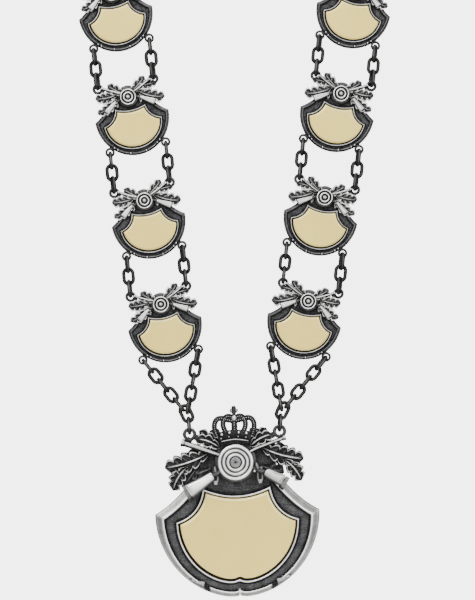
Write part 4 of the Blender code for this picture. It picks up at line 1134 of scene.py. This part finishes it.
pendant = {
    "shield": {"half": 52.7, "cornerDrop": 32.4, "foot": 87.0, "topHalf": 24.0, "topDrop": 4.0,
               "scoop": (0.45, 0.30), "cusp": 1.2, "cuspWidth": 2.6, "footRim": 0.6},
    "frame": {"half": 39.0, "cornerDrop": 38.0, "foot": 78.2, "topHalf": 21.4, "topDrop": 17.0,
              "topSag": 5.0, "scoop": (0.14, 0.20), "cusp": 2.2, "cuspWidth": 3.4},
    "counts": (20, 30, 72),
    "rim": [(0.8, 0.0, 0.3), (0.3, 0.1, 0.35), (0.0, 0.6, 0.1), (0.0, 1.2, 0.05),
            (0.35, 1.5, 0.12), (0.7, 1.75, 0.74), (1.1, 1.9, 0.6), (1.8, 2.2, 0.52),
            (2.6, 2.5, 0.52), (3.4, 2.85, 0.56), (4.0, 3.15, 0.66), (4.5, 3.4, 0.94),
            (5.1, 3.4, 0.9), (5.5, 3.2, 0.5), (5.8, 2.6, 0.14), (6.1, 2.0, 0.02),
            (6.6, 1.78, 0.04)],
    # the rim is left off behind the rifles: half the width of that stretch, and its lowest place
    "openTop": (23.0, -15.0), "openTone": 0.12,
    "between": {"steps": 5, "depth": 1.75, "tone": 0.18},
    "fillet": [(-1.2, 1.75, 0.06), (-0.8, 1.95, 0.08), (-0.5, 2.6, 0.2), (-0.2, 3.2, 0.45),
               (0.1, 3.4, 0.84), (0.5, 3.38, 0.8), (0.8, 3.05, 0.35), (1.1, 2.5, 0.08),
               (1.35, 2.2, 0.0), (1.6, 1.8, 0.0), (1.6, 1.3, 0.0)],
    "plate": {"gap": 1.95, "depth": 1.4, "front": 2.9, "bevel": 1.6, "shift": (0.15, 0.28)},
    "wearAndShade": {"reach": 4.0, "ridge": 0.6, "shade": 0.8},
    "leafWearAndShade": {"reach": 1.8, "ridge": 0.5, "shade": 0.7},
    "rifleWearAndShade": {"reach": 1.5, "ridge": 0.3, "shade": 0.8},
    "targetWearAndShade": {"reach": 0.8, "ridge": 0.3, "shade": 0.6},
    # across, half width of the gap: where the rim breaks into scroll ends
    "rimGaps": ((-21.0, 2.3), (22.4, 2.3)),
    "footFrom": -70,      # mm, the foot's gaps and ridge are below this
    "footRidge": (0.7, 3.0, 0.9),     # half width, depth and tone of the point at the foot
    # the rim's broad ends beside them
    "rimEnds": [[(-31.0, -74.6, 2.6, 0.9, 0.5), (-26.5, -76.7, 2.9, 1.3, 0.6),
                 (-22.9, -78.0, 3.0, 1.9, 0.6)],
                [(32.2, -74.0, 2.6, 0.9, 0.5), (28.0, -76.1, 2.9, 1.3, 0.6),
                 (24.3, -77.5, 3.0, 1.9, 0.6)]],
    "leaves": [
        {"base": (-31.0, -2.0), "tip": (-40.6, -17.0), "width": 5.8, "bend": -0.08, "lobes": 4},
        {"base": (31.0, 0.6), "tip": (41.8, -13.4), "width": 5.4, "bend": 0.08, "lobes": 4},
        {"base": (-8.5, 12.0), "tip": (-22.6, 20.6), "width": 4.4, "bend": 0.06, "lobes": 3,
         "low": 1.3, "veins": 0.0},
        {"base": (8.5, 12.0), "tip": (20.6, 20.8), "width": 4.4, "bend": -0.06, "lobes": 3,
         "low": 1.3, "veins": 0.0},
        {"base": (-9.5, 9.2), "tip": (-25.4, 15.4), "width": 4.7, "bend": -0.09, "lobes": 3,
         "veins": 0.0},
        {"base": (9.5, 9.6), "tip": (24.6, 16.8), "width": 4.7, "bend": 0.09, "lobes": 3,
         "veins": 0.0},
        {"base": (-17.0, 6.2), "tip": (-45.4, -2.4), "width": 7.4, "bend": 0.05, "lobes": 5},
        {"base": (17.0, 8.8), "tip": (43.6, 0.4), "width": 7.2, "bend": -0.05, "lobes": 5},
    ],
    "leafBack": 2.0, "leafFront": 5.1, "leafTone": 0.06,
    "backDrop": 1.2, "backTone": 0.05,    # the rear bunch: how far behind the front one, and tone
    # radius, depth, tone: the round ground behind the target, and how far up its middle is
    "hub": [(6.0, 2.0, 0.1), (13.2, 2.2, 0.1), (13.6, 4.6, 0.15), (12.8, 5.2, 0.2),
            (6.0, 5.6, 0.1)],
    "hubUp": 0.6,
    # the casting's ground, behind the crown and behind the leaves
    "grounds": [[(-9.5, 14.0, 4.0, 4.0, 1.4), (0, 14.6, 4.4, 4.4, 1.6),
                 (9.5, 14.0, 4.0, 4.0, 1.4)],
                [(-25.0, 1.0, 3.0, 4.2, 0.9), (-12.0, 2.5, 3.4, 7.6, 1.1),
                 (12.0, 3.0, 3.4, 7.6, 1.1), (25.0, 2.5, 3.0, 4.2, 0.9)]],
    # what holds the right eye
    "eyeArm": [(15.0, 11.4, 3.6, 3.0, 1.2), (21.0, 14.6, 3.7, 2.4, 1.0),
               (26.4, 17.4, 3.6, 1.7, 0.9)],
    # dark metal from each eye down to the barrel below it
    "eyeWebs": {-1: [(-28.2, 15.6, 3.2, 2.0, 0.9), (-30.0, 14.2, 3.6, 2.2, 0.9),
                     (-31.4, 12.2, 4.6, 1.9, 0.9)],
                1: [(28.4, 15.4, 3.2, 1.8, 0.9), (29.6, 14.8, 3.8, 1.8, 0.9),
                    (30.6, 14.2, 4.8, 1.5, 0.9)]},
    "backLeaves": [
        {"base": (-8.0, 1.0), "tip": (-33.0, -9.0), "width": 7.0, "bend": 0.05},
        {"base": (-24.0, -2.0), "tip": (-34.6, -15.6), "width": 4.4},
        {"base": (8.0, 2.0), "tip": (31.0, -8.0), "width": 7.0, "bend": -0.05},
        {"base": (-8.0, 4.0), "tip": (-31.0, 6.4), "width": 4.6},
        {"base": (8.0, 5.0), "tip": (33.0, 8.6), "width": 5.0},
        {"base": (-4.0, 8.0), "tip": (-15.6, 20.6), "width": 5.4, "lobes": 3},
        {"base": (4.0, 8.0), "tip": (15.6, 20.6), "width": 5.4, "lobes": 3},
    ],
    "leafStyle": {"relief": 1.8, "droop": 1.2, "shine": 0.8, "rib": 0.55, "hem": 0.5,
                  "veins": 0.22},
    "backStyle": {"shine": 0.3, "rib": 0.5, "hem": 0.5, "veins": 0.9},
    "rifles": [
        {"barrel": [(-34.2, 13.8, 7.6, 1.9, 1.3), (-32.6, 13.2, 7.6, 1.9, 1.3),
                    (-32.0, 12.9, 7.6, 1.4, 1.1), (-22.0, 9.3, 7.6, 1.45, 1.2),
                    (-13.0, 5.9, 7.6, 1.0, 0.9), (-4.0, 2.6, 7.0, 1.0, 1.0)],
         "receiver": [(5.0, -2.0, 6.8, 1.8, 1.3), (13.0, -5.0, 6.8, 1.7, 1.3),
                      (20.0, -7.8, 6.9, 1.5, 1.3)],
         "butt": [(18.7, -6.9, 7.1, 2.0, 1.3), (19.8, -7.6, 7.2, 2.8, 1.6),
                  (23.5, -9.6, 7.4, 3.3, 1.9), (28.0, -12.0, 7.4, 3.8, 1.8),
                  (29.8, -13.0, 7.2, 3.9, 1.3)],
         "plate": [(29.4, -13.4, 6.7, 4.3, 1.1), (31.4, -14.9, 6.6, 4.6, 1.0),
                   (32.0, -15.3, 6.6, 4.4, 0.8)],
         "guard": (15.4, -8.8), "buttTone": 0.7},
        {"barrel": [(32.4, 15.0, 7.9, 1.4, 1.2), (31.0, 14.4, 7.9, 1.4, 1.2),
                    (30.4, 14.1, 7.9, 0.9, 0.9), (22.0, 11.2, 7.8, 0.85, 0.9),
                    (13.0, 8.0, 7.7, 0.85, 0.9), (5.0, 4.0, 7.0, 1.0, 1.0)],
         "receiver": [(-4.0, -2.6, 6.8, 1.8, 1.3), (-9.0, -5.4, 6.8, 1.7, 1.3),
                      (-15.5, -8.6, 7.0, 1.6, 1.3)],
         "butt": [(-14.6, -8.3, 7.1, 2.2, 1.4), (-15.8, -9.0, 7.3, 3.0, 1.8),
                  (-22.0, -13.0, 7.6, 3.8, 2.2), (-28.6, -17.0, 7.6, 4.8, 2.1),
                  (-30.4, -18.1, 7.4, 4.9, 1.6)],
         "plate": [(-30.3, -18.2, 7.0, 5.2, 1.5), (-31.9, -19.2, 6.9, 5.4, 1.3),
                   (-32.5, -19.5, 6.9, 5.3, 0.9)],
         "guard": (-13.1, -8.8), "buttTone": 0.9},
    ],
    "rifleStyle": plaque["rifleStyle"] | {"barrelTone": 0.68, "shadowWeb": 0.5,
                                          "guardSize": (2.2, 5.2, 6.9)},
    "buttPlateTone": 0.48,
    "target": [(7.0, 6.4, 0.1), (10.8, 6.4, 0.05), (11.4, 6.8, 0.05), (11.55, 8.0, 0.05),
               (11.55, 9.7, 0.1), (11.3, 10.2, 0.6), (11.0, 10.5, 0.94), (10.2, 10.6, 0.98),
               (9.75, 10.5, 0.84), (9.4, 10.3, 0.4), (9.2, 10.2, 0.26), (8.65, 10.2, 0.26),
               (8.4, 10.35, 0.46), (8.1, 10.5, 0.76), (7.7, 10.6, 0.86), (7.2, 10.55, 0.8),
               (6.85, 10.4, 0.5), (6.6, 10.2, 0.28), (5.95, 10.2, 0.24), (5.7, 10.45, 0.6),
               (5.2, 10.6, 0.84), (4.8, 10.65, 0.86), (4.3, 10.55, 0.6), (4.0, 10.4, 0.34),
               (3.85, 10.2, 0.14), (3.4, 10.2, 0.14), (3.25, 10.4, 0.44), (2.7, 10.5, 0.48),
               (2.3, 10.45, 0.38), (1.9, 10.5, 0.48), (1.5, 10.45, 0.36), (1.1, 10.5, 0.4),
               (0.75, 10.45, 0.3), (0.6, 10.3, 0.0), (0.3, 10.25, 0.0), (0.02, 10.3, 0.1)],
    # grey locks over the guards, with one bright screw head
    "locks": [[(-13.3, -2.4, 7.1, 0.8, 1.0), (-13.2, -4.3, 7.4, 1.35, 1.2),
               (-13.0, -6.4, 7.1, 1.0, 0.9)],
              [(13.2, -0.9, 7.1, 0.8, 1.0), (13.6, -3.1, 7.4, 1.35, 1.2),
               (14.6, -5.6, 7.1, 1.0, 0.9)]],
    "lockTone": 0.42,
    "screw": (11.9, -6.0),
    "screwHead": [(0.9, 6.6, 0.1), (0.85, 7.9, 0.5), (0.5, 8.3, 0.9), (0.05, 8.4, 1.0)],
    # groove: how much darker an eye is along the line that faces straight forward
    "eyes": {"spread": 28.8, "rise": 18.5, "ring": 3.3, "wire": 1.2, "depth": 3.4, "tone": 0.8,
             "groove": 0.8},
}
pendantPlace = (Matrix.Translation(base * mm)
                @ Matrix.Rotation(math.radians(-chain["pendantTilt"]), 4, "Y")
                @ Matrix.Translation((0, pendant["eyes"]["depth"] * mm,
                                      -pendant["eyes"]["rise"] * mm)))


def addPendantPiece(name, mesh, node):
    mesh.transform(pendantPlace)
    addPiece(name, mesh, "pendant", [node])


def addPendantCasting(name, shape, wearAndShade, node):
    addPendantPiece(name, makeMesh(name, shape, antiqueSilver, wearAndShade), node)


def pendantShieldShape():
    shape = newShape()
    rows = len(pendant["rim"])
    addShield(shape, pendant["shield"], pendant["frame"], pendant["rim"], pendant["between"],
              pendant["fillet"], pendant["counts"])
    count = len(shape["points"]) // (rows + pendant["between"]["steps"] + len(pendant["fillet"]))
    low = -pendant["between"]["depth"] * mm
    openHalf, lowest = pendant["openTop"]
    ridgeHalf, ridgeDepth, ridgeTone = pendant["footRidge"]
    for index in range(4 * count, rows * count):
        point = shape["points"][index]
        x, z = point.x / mm, point.z / mm
        if abs(x) < openHalf and z > lowest:
            point.y = max(point.y, low)
            shape["tones"][index] = pendant["openTone"]
        if z > pendant["footFrom"]:
            continue
        for across, half in pendant["rimGaps"]:
            far = abs(x - across) / half
            if far < 1:
                share = 1 - max(0.0, far - 0.6) / 0.4
                point.y = point.y * (1 - share) + max(point.y, low) * share
                shape["tones"][index] *= 1 - 0.8 * share
        if abs(x) < ridgeHalf:
            point.y = min(point.y, -ridgeDepth * mm)
            shape["tones"][index] = ridgeTone
    for run in pendant["rimEnds"]:
        addRail(shape, run, 0.55, square=3.0, steps=4, sideTone=0.25)
    return shape


addPendantCasting("pendantShield", pendantShieldShape(), pendant["wearAndShade"], "pendant_shield")
addPendantPiece("pendantPlate", plateMesh("pendantPlate", pendant["frame"], pendant["plate"],
                                          pendant["counts"]),
                "pendant_plate")

leafShape = newShape()
for leaf in pendant["backLeaves"]:
    addLeaf(leafShape, leaf | pendant["backStyle"], pendant["leafBack"],
            pendant["leafFront"] - pendant["backDrop"], pendant["backTone"])
for leaf in pendant["leaves"]:
    addLeaf(leafShape, pendant["leafStyle"] | leaf, pendant["leafBack"], pendant["leafFront"],
            pendant["leafTone"], rows=72, columns=34)
addTurned(leafShape, pendant["hub"], (0, pendant["hubUp"]), 60)
for ground in pendant["grounds"]:
    addRail(leafShape, ground, 0.12, square=3.0, steps=6)
eyes = pendant["eyes"]
for side in (-1, 1):
    addEye(leafShape, eyes["ring"], eyes["wire"], (side * eyes["spread"], eyes["rise"]),
           eyes["depth"], eyes["tone"], 44, 16, eyes["groove"])
    addRail(leafShape, pendant["eyeWebs"][side], 0.06, square=2.6)
    addRail(leafShape, mirrored(pendant["eyeArm"], side), 0.12, square=2.6, steps=5)
addPendantCasting("pendantLeaves", leafShape, pendant["leafWearAndShade"], "pendant_leaves")

rifleShape = newShape()
for rifle in pendant["rifles"]:
    addRifle(rifleShape, rifle, pendant["rifleStyle"])
    addRail(rifleShape, rifle["plate"], pendant["buttPlateTone"], square=3.6, sides=20, steps=3,
            sideTone=0.05)
for lock in pendant["locks"]:
    addRail(rifleShape, lock, pendant["lockTone"], sides=14, steps=4, sideTone=0.0)
addTurned(rifleShape, pendant["screwHead"], pendant["screw"], 12)
addPendantCasting("pendantRifles", rifleShape, pendant["rifleWearAndShade"], "pendant_rifles")

targetShape = newShape()
addTurned(targetShape, pendant["target"], segments=112)
addPendantCasting("pendantTarget", targetShape, pendant["targetWearAndShade"], "pendant_target")
print("pendant made")


# Crown over the pendant's target, mm.

crown = {
    "wearAndShade": {"reach": 1.6, "ridge": 0.25, "shade": 0.7},
    "band": [(-8.7, 13.4, 8.6, 0.42, 0.8), (-4.5, 14.2, 9.0, 0.45, 0.9), (0, 14.6, 9.2, 0.46, 0.9),
             (4.5, 14.2, 9.0, 0.45, 0.9), (8.7, 13.4, 8.6, 0.42, 0.8)],
    "base": [(-10.6, 16.6, 7.8, 2.8, 1.0), (0, 17.8, 8.3, 3.1, 1.2), (10.6, 16.6, 7.8, 2.8, 1.0)],
    "arches": [
        [(-10.8, 16.8), (-12.0, 19.4), (-12.7, 22.6), (-12.3, 25.6), (-10.6, 27.8), (-8.0, 28.2),
         (-5.4, 27.4), (-1.4, 26.6)],
        [(-5.0, 18.6), (-6.2, 20.6), (-7.1, 23.2), (-7.0, 26.0), (-5.6, 28.6), (-3.4, 29.4),
         (-1.2, 28.6)],
        [(0, 18.0), (0, 21.0), (0, 24.0), (0, 28.0)],
    ],
    "wires": (1.75, 1.75, 2.0), "archDepth": 7.6,   # half width of each arch's bar
    "bead": 0.38, "beadSpacing": 1.3, "beadRise": 0.75,
    "pearls": [(-8.2, 18.0), (-3.2, 19.0), (2.6, 19.0), (7.5, 18.4)],
    "pearlHead": [(0.3, 7.0, 0.1), (0.8, 7.6, 0.2), (0.95, 8.6, 0.7), (0.7, 9.3, 1.2),
                  (0.1, 9.6, 1.3)],
    # the small beads under each pearl: radius, spacing, half their row, way down, depth
    "dot": (0.475, 0.9, 0.4, 2.6, 9.4),
    "finial": [(0, 29.4, 1.0), (0, 30.6, 1.1), (0, 31.6, 1.6), (0, 32.8, 2.1), (0, 33.8, 1.7),
               (0, 34.6, 1.5), (0, 35.4, 1.4), (0, 36.0, 0.7)],
    "finialDepth": 7.9,
    "boss": [(0.4, 6.6, 0.2), (1.4, 7.0, 0.3), (1.75, 8.0, 0.6), (1.4, 9.0, 0.85),
             (0.1, 9.5, 0.95)],
    "bossAt": (0, 28.4),
    "lobe": [(0.5, 6.8, 0.1), (1.3, 7.6, 0.15), (1.0, 8.5, 0.4), (0.1, 8.9, 0.7)],
    "lobeAt": (1.5, 33.0),
    "beadTone": 0.62, "dotTone": 0.6,
}
crownShape = newShape()
addRail(crownShape, crown["base"], 0.06, square=3.0, steps=6)
addRail(crownShape, crown["band"], 0.62, sides=14, steps=6, sideTone=0.1)
beadRuns = []
for arch, wire in zip(crown["arches"], crown["wires"]):
    for side in ((-1, 1) if arch[0][0] else (1,)):
        stations = [(side * x, y, crown["archDepth"] + 0.5 * math.sin(index), wire, 0.8)
                    for index, (x, y) in enumerate(arch)]
        addRail(crownShape, stations, 0.08, sides=12, square=2.6, steps=6)
        beadRuns.append([numpy.array((*station[:2], station[2] + crown["beadRise"]))
                         for station in smoothRun([numpy.array(s[:3]) for s in stations], 6)])
addBeads(crownShape, beadRuns, crown["bead"], crown["beadSpacing"], crown["beadTone"])
radius, spacing, half, down, depth = crown["dot"]
addBeads(crownShape, [[(x - half, y - down, depth), (x + half, y - down, depth)]
                      for x, y in crown["pearls"]], radius, spacing, crown["dotTone"])
for place in crown["pearls"]:
    addTurned(crownShape, crown["pearlHead"], place, 14)
addRail(crownShape, [(x, y, crown["finialDepth"], wide, 1.2) for x, y, wide in crown["finial"]],
        0.15, sides=16, steps=4)
addTurned(crownShape, crown["boss"], crown["bossAt"], 24)
for side in (-1, 1):
    addTurned(crownShape, crown["lobe"], (side * crown["lobeAt"][0], crown["lobeAt"][1]), 16)
addPendantCasting("pendantCrown", crownShape, crown["wearAndShade"], "pendant_crown")
print("crown made")


# Floor, light and camera.

stage = {
    "floorDrop": 0.54, "floorHalf": 0.28, "floorForward": 0.08,
    "cameraDistance": 1.6, "pictureHeight": 0.384, "middle": (0.0019, -0.1055, -0.310),
    "lampAim": (0, -0.08, -0.28),
    "seenWhite": 5.0, "roomLight": 0.5,   # strength of the background, and of the room around
}
floorMesh = bpy.data.meshes.new("floor")
ring = unitCircle(72)
floorMesh.from_pydata([(x * stage["floorHalf"], y * stage["floorHalf"] - stage["floorForward"],
                        -stage["floorDrop"]) for x, y in ring], [], [tuple(range(len(ring)))])
floorMaterial, floorTree, floorShader = newMaterial("paleStudioFloor")
paper = addNode(floorTree, "ShaderNodeTexNoise", {"Scale": 40.0, "Detail": 2.0})
floorShade = addRamp(floorTree, paper.outputs["Fac"], [(0.0, "#e9e9e8"), (1.0, "#f3f3f2")])
floorTree.links.new(floorShade, floorShader.inputs["Base Color"])
floorShader.inputs["Roughness"].default_value = 0.85
floorMesh.materials.append(floorMaterial)
floor = addObject("floor", floorMesh)

# name: place, size, power in watts; every lamp looks at the chain
lamps = {
    "keyLamp": ((-0.7, -1.5, 0.6), 0.7, 20.0),
    "frontLamp": ((0.15, -2.3, -0.1), 1.5, 24.0),
    "fillLamp": ((1.1, -1.2, -0.1), 0.9, 7.0),
    "topLamp": ((0.1, -0.35, 0.75), 0.6, 12.0),
    "backLamp": ((0.3, 1.1, 0.5), 1.0, 20.0),
}
for name, (place, size, power) in lamps.items():
    lamp = bpy.data.lights.new(name, "AREA")
    lamp.shape = "DISK"
    lamp.size = size
    lamp.energy = power
    holder = addObject(name, lamp)
    holder.location = place
    holder.rotation_euler = (Vector(stage["lampAim"]) - Vector(place)).to_track_quat(
        "-Z", "Y").to_euler()

world = bpy.data.worlds.new("whiteStudio")
bpy.context.scene.world = world
world.use_nodes = True
sky = world.node_tree
sky.nodes.clear()
seen = addNode(sky, "ShaderNodeBackground", {"Color": (1, 1, 1, 1),
                                               "Strength": stage["seenWhite"]})
room = addNode(sky, "ShaderNodeBackground", {"Color": (0.97, 0.98, 1, 1),
                                               "Strength": stage["roomLight"]})
path = addNode(sky, "ShaderNodeLightPath")
both = addNode(sky, "ShaderNodeMixShader", {0: path.outputs["Is Camera Ray"],
                                            1: room.outputs[0], 2: seen.outputs[0]})
addNode(sky, "ShaderNodeOutputWorld", {"Surface": both.outputs[0]})

camera = bpy.data.cameras.new("camera")
camera.sensor_fit = "AUTO"
camera.sensor_width = 36
camera.lens = 36 * stage["cameraDistance"] / stage["pictureHeight"]
camera.clip_start = 0.05
viewer = addObject("camera", camera)
viewer.location = Vector(stage["middle"]) - Vector((0, stage["cameraDistance"], 0))
viewer.rotation_euler = Euler((math.radians(90), 0, 0))
bpy.context.scene.camera = viewer
print("stage set")
